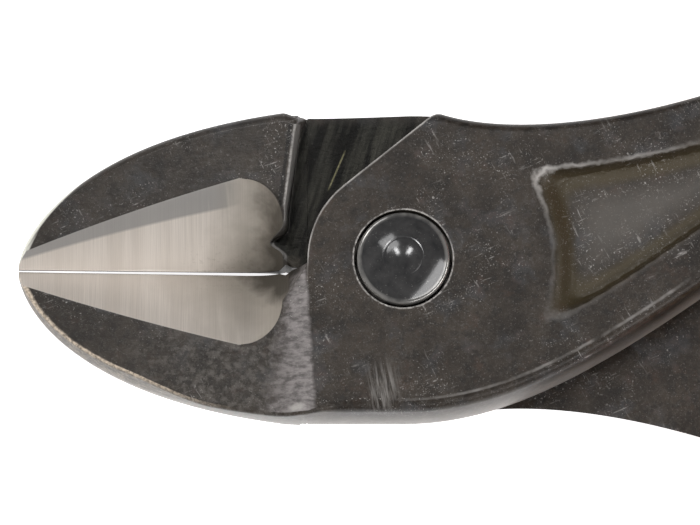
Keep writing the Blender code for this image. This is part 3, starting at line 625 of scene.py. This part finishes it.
def forged_skin(tree, where, x, y):
    """Colour, bareness, oil, grain and height of the blackened forging: brown-black oxide with cool
    and warm patches, crinkled scale, clusters of bright specks and scratches, edges rubbed to bare
    steel, a coarser slope painted lighter as a painted highlight, painted light down the low side
    wall, a painted reflection along the rear nose rim, a painted dark line and a painted grey band
    at the heel wall, and a heel pocket dark with oil and painted shade."""

    def near(value, middle, half, soft, share=1.0):
        """The share within half of the middle, and less down to 0 over soft."""
        off = sums("ABSOLUTE", minus(value, middle))
        return limits(off, half, half + soft, share, 0)

    mottle = noise(where, 0.32, 5, 0.6)
    lumps = noise(where, 1.1, 3, 0.6)
    grain = noise(where, 3.0, 4, 0.65)
    fine = noise(where, 9.0, 2, 0.5)
    tone = blend(limits(mottle, 0.34, 0.66), (0.0145, 0.0102, 0.007), (0.043, 0.0325, 0.0238))
    cool = limits(noise(where, 0.4, 3, 0.6), 0.53, 0.68, 0, 0.65)
    warm = limits(noise(where, 0.8, 3, 0.6), 0.56, 0.76, 0, 0.55)
    fold = sums("ABSOLUTE", minus(noise(where, 1.3, 2, 0.5), 0.5))
    crinkle = times(limits(fold, 0, 0.03, 1, 0), limits(mottle, 0.42, 0.6, 0, 0.35))
    scaly = times(near(x, -14, 4, 5), limits(y, -4, -7))
    scaly = times(scaly, limits(noise(where, 1.7, 4, 0.65), 0.47, 0.62, 0, 0.6))
    ragged = plus(times(lumps, 2.4), times(grain, 0.8))
    ramp = limits(plus(mask(tree, "ramp"), ragged), 1.4, 2.4)
    ramp = times(ramp, limits(x, -11.2, -8.6, 0.4, 0.95))
    brink = plus(mask(tree, "brink"), times(lumps, 0.5))
    ramp = times(ramp, limits(brink, 0.1, 0.4))
    # The slope carries coarser wrinkled scale, and it is painted lighter as a painted highlight, as
    # if it caught light from the left.
    wrinkle = noise(where, 1.8, 4, 0.65, (0.6, 1.4, 1))
    slope_scale_and_highlight = blend(limits(wrinkle, 0.38, 0.6), (0.12, 0.109, 0.106), (0.28, 0.256, 0.25))
    panel = mask(tree, "panel")
    end = sums("ABSOLUTE", minus(panel, 0.8))

    heel, outside = mask(tree, "heel"), mask(tree, "outside")
    cluster = limits(noise(where, 0.2, 3, 0.6), 0.5, 0.64)
    cluster = larger(cluster, near(panel, 2.1, 0.2, 0.4))
    cluster = larger(cluster, near(heel, -1.5, 0.5, 0.6))
    edge_row = times(near(outside, 1.2, 0.12, 0.2), near(x, -3.2, 3.6, 1.0))
    cluster = larger(cluster, edge_row)
    speck = limits(noise(where, 6.5, 1, 0.4), 0.67, 0.75, 0, 0.6)
    dust = limits(noise(where, 11.0, 1, 0.4), 0.68, 0.76, 0, 0.45)
    speck = times(larger(speck, dust), limits(cluster, 0, 1, 0.25, 1))
    upright = limits(noise(where, 1.0, 2, 0.5, (5, 0.6, 1), 0.5), 0.66, 0.74)
    level = limits(noise(where, 1.0, 2, 0.5, (0.7, 5, 1), 0.4), 0.66, 0.74)
    scratch = times(larger(upright, level), times(cluster, 0.4))
    scuff = limits(noise(where, 1.0, 4, 0.65, (4.5, 0.3, 1), 0.18), 0.46, 0.72)
    scuffed = times(near(x, -1.6, 0.4, 1.3), near(y, -10.3, 0.5, 2.0, 0.6))
    scratch = larger(scratch, times(scuff, scuffed))
    wobble = minus(noise(where, 1.4, 3, 0.6), 0.5)
    slow = limits(noise(where, 0.4, 3, 0.6), 0.35, 0.6)
    radius = sums("SQRT", plus(sums("POWER", x, 2), sums("POWER", y, 2)))
    off_cut = sums("ABSOLUTE", y)

    def line(value, middle, half, soft, wander=0.1):
        """A line of wear that wanders a little from its distance."""
        return near(plus(value, times(wobble, wander)), middle, half, soft)

    shoulder = mask(tree, "shoulder")
    on_shank = times(limits(x, -1, 3, 0, 0.35), slow)
    on_panel = times(limits(y, 2, 7, 0.1, 0.8), limits(x, 12, 20, 1, 0.4))
    on_panel = times(on_panel, limits(slow, 0, 1, 0.3, 1))
    ridge = times(limits(off_cut, 4.0, 5.2), limits(grain, 0.38, 0.62, 0.3, 0.9))
    ridge = times(ridge, limits(off_cut, 5.0, 12.0, 1, 0.5))
    sparkle = limits(noise(where, 5.0, 2, 0.5), 0.35, 0.6, 0.35, 1)
    worn = times(line(outside, 0.3, 0.14, 0.2, 0.2), limits(x, -21, -13, 0.95, 0))
    worn = times(worn, sparkle)
    # Painted reflection: a pale band along the rounded rim of the rear lever's nose, where the edge
    # mirrors the pale surroundings; it also counts as bare steel.
    nose_rim_reflection = minus(mask(tree, "rim"), limits(x, -30.4, -25.5, 0.7, 0.12))
    nose_rim_reflection = times(limits(nose_rim_reflection, -0.14, 0.06, 1, 0), limits(x, -26, -20, 1, 0))
    # Lines of wear rubbed bare. The painted reflection on the nose rim is among them.
    rubbed = [
        (line(shoulder, 0.0, 0.06, 0.12), limits(slow, 0, 1, 0.4, 0.9)),
        (line(heel, 0.04, 0.05, 0.1, 0.1), ridge),
        (nose_rim_reflection, 0.85),
        (line(outside, 1.25, 0.05, 0.12), on_shank),
        (line(outside, 0.95, 0.12, 0.3, 0.5), near(x, -8.4, 0.3, 0.5, 0.8)),
        (line(panel, -0.15, 0.04, 0.22, 0.6), on_panel),
        (line(radius, bore_head + 0.05, 0.03, 0.07, 0.15), limits(grain, 0.4, 0.6, 0.15, 0.9)),
    ]
    bare = larger(speck, scratch)
    for rub, share in rubbed:
        bare = larger(bare, times(rub, share))
    # Painted light: the front lever's low side wall is lightened towards bare steel, more so near
    # the tip, as if lit by the pale floor below.
    side = larger(limits(mottle, 0.3, 0.7, 0.5, 0.74), limits(x, -27, -20, 0.75, 0.5))
    side = times(mask(tree, "side"), side)
    bare = larger(bare, side)
    # Oil film in the pocket, painted near black and streaked as the pocket's shade, with a thin
    # yellowish line.
    oil_and_shade = mask(tree, "pocket")
    bare = times(bare, limits(oil_and_shade, 0, 1, 1, 0.06))
    smear = limits(noise(where, 1.0, 4, 0.6, (1.1, 0.12, 1), -0.3), 0.42, 0.68)
    oil_film_and_shade = blend(smear, (0.003, 0.003, 0.0026), (0.034, 0.033, 0.027))
    scored = minus(times(x, 0.92), times(y, 0.39))
    scored = times(near(scored, -7.92, 0.02, 0.07), near(y, 7.9, 1.1, 0.6, 0.8))
    oil_film_and_shade = blend(scored, oil_film_and_shade, (0.16, 0.15, 0.085))
    # Darker at the heel where the cutting line ends.
    heel_notch_darkening = times(near(x, -9.0, 0.7, 0.4), near(y, 0.1, 0.6, 0.5, 0.85))
    layers = [
        (cool, (0.05, 0.053, 0.059)),
        (warm, (0.066, 0.036, 0.023)),
        (limits(lumps, 0.5, 0.66, 0, 0.6), (0.01, 0.0086, 0.0074)),
        (crinkle, (0.09, 0.082, 0.075)),
        (limits(grain, 0.5, 0.72, 0, 0.45), (0.08, 0.071, 0.063)),
        (limits(x, -11, -8, 0.2, 0), (0.08, 0.077, 0.074)),
        (scaly, (0.13, 0.118, 0.105)),
        (ramp, slope_scale_and_highlight),
        (limits(panel, 1.3, 3.4, 0, 0.65), (0.125, 0.114, 0.102)),
        (limits(end, 0.4, 1.0, 0.75, 0), (0.07, 0.054, 0.028)),
        # Painted shade: a thin dark line on the jaw face just short of the heel wall's edge.
        (near(heel, -0.33, 0.08, 0.12, 0.8), (0.009, 0.008, 0.007)),
        # Painted light: a grey band down the heel wall just past its edge, lightening it against
        # the pocket's shade.
        (near(heel, 0.25, 0.15, 0.1, 0.95), (0.21, 0.2, 0.188)),
        (times(oil_and_shade, 0.95), oil_film_and_shade),
        (bare, (0.5, 0.475, 0.45)),
        (worn, (0.68, 0.57, 0.45)),
        (nose_rim_reflection, (0.66, 0.65, 0.58)),
        (heel_notch_darkening, (0.03, 0.026, 0.021)),
    ]
    for share, colour in layers:
        tone = blend(share, tone, colour)
    height = plus(times(grain, 0.7), times(fine, 0.3))
    on_jaw = larger(limits(x, -11, -7, 1.6, 0.3), times(ramp, 4.0))
    height = plus(height, times(on_jaw, plus(lumps, wrinkle)))
    return tone, bare, oil_and_shade, grain, height


def ground_facet(tree, where, x, y):
    """Colour and height of bare tool steel from the grinding wheel: fine lines square to the
    cutting edge, broad soft streaks, and darker brown towards the heel."""
    lines = noise(where, 1.0, 4, 0.7, (14, 0.12, 0.12))
    streaks = noise(where, 1.0, 2, 0.5, (0.55, 0.05, 0.05))
    tone = blend(limits(streaks, 0.35, 0.65), (0.7, 0.64, 0.58), (0.8, 0.74, 0.68))
    band = minus(mask(tree, "ground"), limits(x, -30, -14, 0.49, 1.79))
    band = times(limits(band, -0.1, 0.1, 0.8, 0), limits(y, 0.3, 1.0))
    band = times(band, limits(x, -14.0, -12.6, 1, 0))
    off_cut = sums("ABSOLUTE", y)
    spots = limits(noise(where, 3.2, 3, 0.6), 0.56, 0.68, 0, 0.5)
    spots = times(spots, limits(off_cut, 0.8, 2.6, 1, 0))
    slant = limits(noise(where, 1.0, 2, 0.5, (1.7, 0.1, 0.1), 0.12), 0.58, 0.74, 0, 0.3)
    cloud = times(minus(noise(where, 0.6, 3), 0.5), 3.0)
    # Darker towards the heel, sooner on the lower facet and further from the cutting line.
    lower = limits(y, -0.3, 0.3, 1, 0)
    lean = limits(lower, 0, 1, 0.1, 1.1)
    inward = minus(plus(x, cloud), times(off_cut, lean))
    heel_dimming_at = plus(inward, times(lower, 3.0))
    begins, ends = limits(lower, 0, 1, -16, -19), limits(lower, 0, 1, -12.6, -11.4)
    heel_dimming = limits(heel_dimming_at, begins, ends, 0, 0.78)
    heel_darkening_at = plus(inward, times(lower, 1.5))
    heel_darkening = limits(heel_darkening_at, -12.5, -10.4, 0, 0.9)
    layers = [
        (limits(lines, 0.35, 0.65, 0, 0.5), (0.52, 0.47, 0.425)),
        (band, (0.3, 0.295, 0.29)),
        (times(spots, limits(x, -18, -13)), (0.19, 0.15, 0.11)),
        (times(slant, limits(x, -19, -15)), (0.86, 0.8, 0.73)),
        (heel_dimming, (0.38, 0.345, 0.297)),
        (heel_darkening, (0.075, 0.066, 0.052)),
    ]
    for share, colour in layers:
        tone = blend(share, tone, colour)
    return tone, lines


def lever_steel():
    """Blackened forging with ground facets, parted by the distance to the facet's border."""
    made, tree, shader, where = new_material("lever_steel")
    place = node(tree, "SeparateXYZ", {0: where})
    x, y = minus(place.outputs[0], pivot[0] / MM), place.outputs[1]
    black, bare, oil_and_shade, grain, scale = forged_skin(tree, where, x, y)
    bright, lines = ground_facet(tree, where, x, y)
    ground = limits(mask(tree, "ground"), -0.02, 0.02)
    metal = larger(limits(bare, 0, 1, 0.1, 0.35), times(oil_and_shade, 0.75))
    black_rough = limits(grain, 0.3, 0.7, 0.38, 0.52)
    black_rough = minus(black_rough, times(oil_and_shade, 0.1))
    bright_rough = limits(lines, 0.3, 0.7, 0.4, 0.55)
    rough = node(tree, "Mix", {"Factor": ground, 2: black_rough, 3: bright_rough}).outputs[0]
    faces = {"Factor": ground, 4: bumps(scale, 0.35, 0.06), 5: bumps(lines, 0.2, 0.02)}
    shader.inputs["Specular IOR Level"].default_value = 0.35
    feed(shader, {
        "Base Color": blend(ground, black, bright),
        "Metallic": larger(metal, times(ground, 0.3)),
        "Roughness": rough,
        "Normal": node(tree, "Mix", faces, data_type="VECTOR").outputs[1],
    })
    return made


def rivet_bore():
    """Room for the rivet through both plates: a counterbore for the head, the shank bore and a
    shallower counterbore for the tail."""
    profile = [(0.01, 15), (bore_head, 15), (bore_head, bore_seat), (bore_shank, bore_seat)]
    profile += [(bore_shank, -bore_seat), (bore_tail, -bore_seat), (bore_tail, -15), (0.01, -15)]
    return skin_mesh("rivet_bore", pivot + MM * turned_ring(profile, 128))


steel = lever_steel()
for name, body, front in (("front_lever", "front_half", True), ("rear_lever", "rear_half", False)):
    points, masks = lever_skin(front)
    way = np.array([1, 1, 1] if front else [1, -1, -1])
    piece = skin_mesh(name + "_forging", pivot + MM * points * way, masks)
    piece.data.materials.append(steel)
    cutter = rivet_bore()
    step = piece.modifiers.new("bore", "BOOLEAN")
    step.operation, step.object = "DIFFERENCE", cutter
    bpy.context.view_layer.update()
    graph = bpy.context.evaluated_depsgraph_get()
    bored = bpy.data.meshes.new_from_object(piece.evaluated_get(graph))
    piece.modifiers.clear()
    piece.data = bored
    bpy.data.objects.remove(cutter)
    shade(piece)
    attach(piece, body)
    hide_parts(name)

# Pivot rivet: a turned steel rivet with a domed head that sits in a counterbore of the front plate,
# burnished blue-black, with a shallow ring round a small disc. Its tail is set flush at the back.
head_radius, head_crown, dome_drop, disc_radius, ring_depth = 3.65, 6.25, 1.0, 1.55, 0.018
rim_round, seat_z, shank_radius, tail_radius, tail_z = 0.22, 3.7, 2.8, 3.4, -4.9


def rivet_profile():
    """Half section from the crown down: a parabola with a fine ring pressed in it, the rounded rim,
    then head, shank and tail."""
    runs = (0.01, 1.3, 14), (1.32, 1.78, 24), (1.84, head_radius - rim_round, 26)
    r = np.concatenate([np.linspace(*run) for run in runs])
    dome = head_crown - dome_drop * (r / head_radius) ** 2
    dome -= ring_depth * np.exp(-(((r - disc_radius) / 0.09) ** 2))
    turn = np.linspace(0.15, math.pi / 2, 8)
    rim_r = r[-1] + rim_round * np.sin(turn)
    rim_z = dome[-1] - rim_round * (1 - np.cos(turn))
    shank = [(head_radius, seat_z), (shank_radius, seat_z), (shank_radius, -seat_z)]
    tail = [(tail_radius, -seat_z), (tail_radius, tail_z + 0.15)]
    tail += [(tail_radius - 0.15, tail_z), (0.01, tail_z - 0.02)]
    head = np.column_stack([np.concatenate([r, rim_r]), np.concatenate([dome, rim_z])])
    return np.concatenate([head, shank, tail])


def burnished_steel():
    """Blue-black burnished steel: very dark and glossy, with fine turning rings, faint dust and a
    rim rubbed bright."""
    made, tree, shader, where = new_material("burnished_steel")
    centre = {0: where, 1: tuple(pivot / MM)}
    centred = node(tree, "VectorMath", centre, operation="SUBTRACT").outputs[0]
    flat = node(tree, "VectorMath", {0: centred, 1: (1, 1, 0)}, operation="MULTIPLY").outputs[0]
    radius = node(tree, "VectorMath", {0: flat}, operation="LENGTH").outputs["Value"]
    rings = noise(node(tree, "CombineXYZ", {0: radius}).outputs[0], 9.0, 3, 0.6)
    cloud = noise(where, 0.8, 4, 0.6)
    tone = blend(limits(cloud, 0.3, 0.7), (0.032, 0.032, 0.033), (0.066, 0.064, 0.064))
    dust = limits(noise(where, 7.0, 1, 0.4), 0.7, 0.76, 0, 0.2)
    rim = limits(radius, head_radius - 0.42, head_radius - 0.08)
    rim = times(rim, limits(noise(where, 0.45, 3, 0.6), 0.36, 0.6, 0.15, 1))
    bare = larger(dust, rim)
    shader.inputs["Specular IOR Level"].default_value = 0.6
    feed(shader, {
        "Base Color": blend(bare, tone, (0.58, 0.56, 0.53)),
        "Metallic": limits(bare, 0, 1, 0.1, 0.8),
        "Roughness": limits(rings, 0.3, 0.7, 0.08, 0.17),
        "Normal": bumps(rings, 0.04, 0.01),
    })
    return made


rivet = skin_mesh("pivot_rivet_turned", pivot + MM * turned_ring(rivet_profile(), 160))
rivet.data.materials.append(burnished_steel())
shade(rivet, 50)
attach(rivet, "rear_half")
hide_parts("pivot_rivet")

# Inner sleeves: yellow insulation moulded on the tangs under the red shells. Only the collar in
# front of each hand guard shows, until the yellow warns that a shell is worn through.
collar, sleeve_half_width, sleeve_half_thick, sleeve_taper = 2.0, 7.1, 6.2, 0.16
squareness, collar_round, mouth_depth, mouth_insets = 2.5, 0.55, 0.35, (1.9, 1.5)
line_steps = np.diff(grip_line(np.linspace(0, 1, 200))[0], axis=0)
line_length = float(np.linalg.norm(line_steps, axis=1).sum())
handles = (
    ("upper", "front_half", np.array([1, 1, 1])),
    ("lower", "rear_half", np.array([1, -1, -1])),
)


def on_oval(t, angle, half_width, half_thick, power, flat=np.inf):
    """Points round the handle line at its shares t: a power of the cosine across the handle and of
    the sine in height, cut level at the height flat."""
    middle, out = grip_line(t)
    c, s = np.cos(angle), np.sin(angle)
    across = half_width * np.sign(c) * np.abs(c) ** power
    z = np.clip(half_thick * np.sign(s) * np.abs(s) ** power, -flat, flat)
    xy = middle[:, None] + across[..., None] * out[:, None]
    return np.concatenate([xy, z[..., None]], axis=-1)


def oval_rings(distance, half_out, half_in, half_thick, square, around, flat=np.inf):
    """Closed ovals square to the handle line, one per distance along it."""
    angle = np.linspace(0, 2 * math.pi, around, endpoint=False)[None]
    power = 2 / (square + 0 * distance)[:, None]
    size = np.where(np.cos(angle) > 0, half_out[:, None], half_in[:, None])
    return on_oval(distance / line_length, angle, size, half_thick[:, None], power, flat)


def sleeve_rings():
    """Rings from the mouth round the tang, over the round collar edge and back under the shell."""
    turn = np.linspace(math.pi, math.pi / 2, 7)
    front = -collar + collar_round * (1 + np.cos(turn))
    inset = collar_round * (1 - np.sin(turn))
    mouth = [-collar + mouth_depth, -collar + 0.05]
    straight = np.linspace(-collar + 1, 0.5, 6)
    under_shell = np.array([3, 30, 60, 88])
    distance = np.concatenate([mouth, front, straight, under_shell])
    inset = np.concatenate([mouth_insets, inset, 0 * straight, 0 * under_shell])
    taper = 1 - sleeve_taper * ease(distance / line_length)
    half_width, half_thick = sleeve_half_width * taper - inset, sleeve_half_thick * taper - inset
    return oval_rings(distance, half_width, half_width, half_thick, squareness, 96)


def sleeve_plastic():
    """Smooth moulded plastic: slight flow clouds in the yellow and a soft gloss."""
    made, _, shader, where = new_material("sleeve_plastic_yellow")
    flow = noise(where, 0.15, 4, 0.6, (0.4, 1, 1))
    tone = blend(limits(flow, 0.3, 0.7), (0.78, 0.5, 0.02), (0.88, 0.6, 0.035))
    rough = limits(noise(where, 2.5, 3), 0.3, 0.7, 0.34, 0.48)
    normal = bumps(noise(where, 5.0, 2), 0.15, 0.03)
    feed(shader, {"Base Color": tone, "Roughness": rough, "Normal": normal})
    return made


yellow = sleeve_plastic()
for name, body, way in handles:
    piece = skin_mesh(name + "_sleeve_moulding", pivot + MM * sleeve_rings() * way)
    piece.data.materials.append(yellow)
    shade(piece, 50)
    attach(piece, body)
    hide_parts(name + "_core_sleeve")

# Grip shells: thick red insulation over the sleeves, moulded in one with a hand guard that keeps
# the fingers off the steel. Grooves mark where the soft inlays are let in.
grip_half_width, grip_half_thick, grip_end_round = 9.5, 8.2, 8.0
grip_waist, waist_from, lens_blunt = 0.07, 0.35, 0.006
guard_outside, guard_inside, guard_half_thick, guard_length, guard_fade = 3.8, 1.7, 9.5, 3.4, 6.0
guard_squareness, guard_edge, guard_front_drop, guard_crown = 4.0, 0.8, 0.35, 1.06
groove_depth, groove_half = 0.3, 0.32
mouth_at, mouth_thick = (0.9, 0.35, 0.02), (6.45, 6.55, 7.6)
mouth_out, mouth_inside = (7.4, 7.5, 9.0), (7.4, 7.5, 8.6)
inlays = {
    "palm_pad": (0.24, 0.86, 0.0, math.radians(52), 13),
    "finger_pad": (0.2, 0.72, math.pi, math.radians(42), 10),
}


def grip_size(t):
    """Half width and half thickness of the grip: full at the front and end, slimmer between."""
    slim = 1 - grip_waist * np.sin(math.pi * np.clip((t - waist_from) / (1 - waist_from), 0, 1))
    return grip_half_width * slim, grip_half_thick * slim


def lens(t, start, stop, half_angle):
    """Half the angle that an inlay covers at share t: a pointed oval from start to stop."""
    share = np.clip((t - start) / (stop - start), 0, 1)
    share = lens_blunt + (1 - 2 * lens_blunt) * share
    return half_angle * np.sin(math.pi * share) ** 0.5


def shell_rings():
    """Rings from the mouth of the shell up the rounded front of the guard, over the guard, along
    the waisted grip and round its end; sunk grooves follow the border of each inlay."""
    around = 144
    turn = np.linspace(0.06, math.pi / 2, 10)
    edge = guard_edge * (1 - np.cos(turn))
    guard = np.linspace(guard_edge + 0.2, guard_length, 8)
    fade = guard_length + np.linspace(0.3, guard_fade, 18)
    grip = np.linspace(fade[-1], line_length - grip_end_round, 170)[1:]
    end = line_length - grip_end_round * np.cos(np.linspace(0.03, 1.515, 26))
    distance = np.concatenate([mouth_at, edge, guard, fade, grip, end])
    t = distance / line_length
    half_width, half_thick = grip_size(t)
    front = np.clip(distance / guard_edge, 0, 1)
    rise = 1 - guard_front_drop * (1 - np.sqrt(np.maximum(0, 1 - (1 - front) ** 2)))
    rise = rise * (1 - ease((distance - guard_length) / guard_fade))
    into_end = np.maximum(0, distance - line_length + grip_end_round) / grip_end_round
    close = np.sqrt(np.maximum(0.0, 1 - into_end**2))
    square = squareness + (guard_squareness - squareness) * rise
    thick = half_thick + (guard_crown * guard_half_thick - half_thick) * rise
    out = (half_width + guard_outside * rise) * close
    inside = (half_width + guard_inside * rise) * close
    thick = thick * close
    out[:3], inside[:3] = mouth_out, mouth_inside
    thick[:3], square[:3] = mouth_thick, squareness
    rings = oval_rings(distance, out, inside, thick, square, around, guard_half_thick)
    angle = np.linspace(0, 2 * math.pi, around, endpoint=False)[None]
    sunk = np.zeros(rings.shape[:2])
    for start, stop, centre, half_angle, _ in inlays.values():
        off = np.abs((angle - centre + math.pi) % (2 * math.pi) - math.pi)
        side = (off - lens(t, start, stop, half_angle)[:, None]) * grip_half_width
        past = np.maximum(start - t, t - stop)[:, None] * line_length
        border = np.maximum(side, past)
        groove = groove_depth * np.exp(-((np.maximum(border, 0) / groove_half) ** 2))
        sunk = np.maximum(sunk, groove)
    middle, _ = grip_line(t)
    centre_line = np.concatenate([middle, np.zeros((len(t), 1))], axis=1)[:, None]
    spoke = rings - centre_line
    size = np.maximum(np.linalg.norm(spoke, axis=-1, keepdims=True), 1e-6)
    return rings - spoke / size * sunk[..., None]


def shell_plastic():
    """Moulded red insulation: fine eroded grain, slight colour drift and a few rubbed spots."""
    made, _, shader, where = new_material("shell_plastic_red")
    drift = noise(where, 0.06, 4, 0.6)
    grain = noise(where, 3.6, 3, 0.6)
    tone = blend(limits(drift, 0.3, 0.7), (0.5, 0.016, 0.014), (0.62, 0.03, 0.025))
    tone = blend(limits(grain, 0.5, 0.75, 0, 0.3), tone, (0.72, 0.06, 0.05))
    rubbed = limits(noise(where, 0.12, 3), 0.55, 0.75)
    rough = minus(limits(grain, 0.3, 0.7, 0.42, 0.58), times(rubbed, 0.12))
    feed(shader, {"Base Color": tone, "Roughness": rough, "Normal": bumps(grain, 0.4, 0.05)})
    return made


red = shell_plastic()
for name, body, way in handles:
    piece = skin_mesh(name + "_shell_moulding", pivot + MM * shell_rings() * way)
    piece.data.materials.append(red)
    shade(piece, 40)
    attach(piece, body)
    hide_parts(name + "_grip_shell")

# Inlays: soft yellow pads let into each shell, one under the palm and one under the fingers, with
# cross ribs for grip.
pad_depth, pad_proud, pad_sunk, pad_edge = 1.0, 0.25, 0.25, 0.6
pad_rib, rib_fade, rows_per_rib = 0.45, 2.2, 14


def pad_rings(start, stop, centre, half_angle, ribs):
    """Rings across an inlay: the upper side follows the grip with rounded cross ribs and falls
    away at its border, the under side lies in the shell. Also returns each point's height on a
    rib."""
    t = np.linspace(start, stop, ribs * rows_per_rib + 1)[:, None]
    half_width, half_thick = grip_size(t)
    reach = lens(t, start, stop, half_angle)
    u = np.linspace(-1, 1, 33)[None]
    share = (t - start) / (stop - start)
    wave = (0.5 - 0.5 * np.cos(2 * math.pi * ribs * share)) ** 1.4
    side = (1 - np.abs(u)) * reach * grip_half_width
    tail = np.minimum(share, 1 - share) * (stop - start) * line_length
    border = np.minimum(side, tail)
    full = np.sqrt(np.clip(1 - (1 - np.clip(border / pad_edge, 0, 1)) ** 2, 0, 1))
    rib = wave * ease(border / rib_fade)
    level = -pad_sunk + (pad_proud + pad_sunk) * full + pad_rib * rib
    sides = []
    for height, way in ((level, 1), (np.full_like(level, -pad_depth), -1)):
        angle, lift = centre + u[:, ::way] * reach, height[:, ::way]
        sides.append(on_oval(t[:, 0], angle, half_width + lift, half_thick + lift, 2 / squareness))
    return np.concatenate(sides, axis=1), {"rib": np.concatenate([rib, 0 * rib], axis=1)}


def pad_rubber():
    """Soft moulded rubber: matt, with painted shade in the valleys between the ribs, and a fine
    pebble.
    """
    made, tree, shader, where = new_material("pad_rubber_yellow")
    dust = noise(where, 0.25, 5, 0.65)
    pebble = noise(where, 4.5, 2, 0.5)
    tone = blend(limits(dust, 0.3, 0.72), (0.76, 0.48, 0.02), (0.84, 0.58, 0.05))
    # Painted shade in the valleys between the ribs, broken up by the dust noise.
    painted_valley_shade = limits(plus(mask(tree, "rib"), times(dust, 0.4)), 0.15, 0.7, 0.6, 0)
    tone = blend(painted_valley_shade, tone, (0.44, 0.21, 0.008))
    rough = limits(pebble, 0.3, 0.7, 0.55, 0.72)
    feed(shader, {"Base Color": tone, "Roughness": rough, "Normal": bumps(pebble, 0.3, 0.04)})
    return made


rubber = pad_rubber()
for name, body, way in handles:
    for inlay, shape in inlays.items():
        rings, masks = pad_rings(*shape)
        piece = skin_mesh(name + "_" + inlay + "_inlay", pivot + MM * rings * way, masks)
        piece.data.materials.append(rubber)
        shade(piece, 50)
        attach(piece, body)
        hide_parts(name + "_" + inlay)

# Studio: a pale floor under the tool, a light tent that is bright at the horizon and dim overhead,
# three soft boxes and two small lamps, and the camera of the close-up.
floor_half = 3.0
floor_mesh = bpy.data.meshes.new("floor")
floor_corners = floor_half * np.array([(-1, -1, 0), (1, -1, 0), (1, 1, 0), (-1, 1, 0)])
floor_mesh.from_pydata(floor_corners.tolist(), [], [(0, 1, 2, 3)])
floor = put("floor", floor_mesh)
paper, _, shader, where = new_material("pale_paper")
shade_of_white = blend(noise(where, 0.02, 2), (0.9, 0.9, 0.9), (0.93, 0.93, 0.93))
feed(shader, {"Base Color": shade_of_white})
shader.inputs["Roughness"].default_value = 0.9
shader.inputs["Emission Color"].default_value = (1, 1, 1, 1)
shader.inputs["Emission Strength"].default_value = 0.85
floor_mesh.materials.append(paper)

world = bpy.data.worlds.new("tent")
bpy.context.scene.world = world
world.use_nodes = True
tree = world.node_tree
up = node(tree, "SeparateXYZ", {0: node(tree, "TexCoord").outputs["Generated"]}).outputs[2]
low_sky, high_sky = limits(up, 0.0, 0.4, 0.5, 1.1), limits(up, 0.65, 0.95, 1.1, 0.6)
feed(tree.nodes["Background"], {"Strength": sums("MINIMUM", low_sky, high_sky)})


def soft_box(name, away, direction, width, height, power, mirrored=True):
    """A rectangular lamp that far from the pivot in that direction, turned to face it."""
    offset = away * np.array(direction)
    lamp = bpy.data.lights.new(name, "AREA")
    lamp.shape, lamp.size, lamp.size_y, lamp.energy = "RECTANGLE", width, height, power
    item = put(name, lamp)
    item.location = pivot + offset
    item.visible_glossy = mirrored
    item.rotation_mode = "QUATERNION"
    item.rotation_quaternion = Vector(offset).to_track_quat("Z", "Y")


soft_box("left_box", 0.57, (-0.3, 0.45, 0.84), 0.19, 0.19, 0.6)
soft_box("right_box", 0.62, (0.55, -0.42, 0.72), 0.8, 0.15, 2.4)
soft_box("tip_box", 0.6, (-0.8, -0.05, 0.6), 0.4, 0.4, 1.75, False)
for side in (-1, 1):
    soft_box("lamp", 0.6, (side * 0.144, 0.28, 0.95), 0.045, 0.1, 0.3)

tilt = math.radians(9)
camera_distance, pixel, image_width = 0.9, 0.0793 * MM, 700
right_of_pivot, above_pivot = -53 * pixel, 6 * pixel
aim = pivot + np.array([right_of_pivot, above_pivot / math.cos(tilt), 0])
camera_data = bpy.data.cameras.new("camera")
camera_data.sensor_width = 36
camera_data.lens = camera_data.sensor_width * camera_distance / (image_width * pixel)
camera_data.clip_start = 0.01
camera = put("camera", camera_data)
camera.location = aim + camera_distance * np.array([0, -math.sin(tilt), math.cos(tilt)])
camera.rotation_euler = (tilt, 0, 0)
bpy.context.scene.camera = camera
bpy.context.scene.view_settings.view_transform = "Standard"
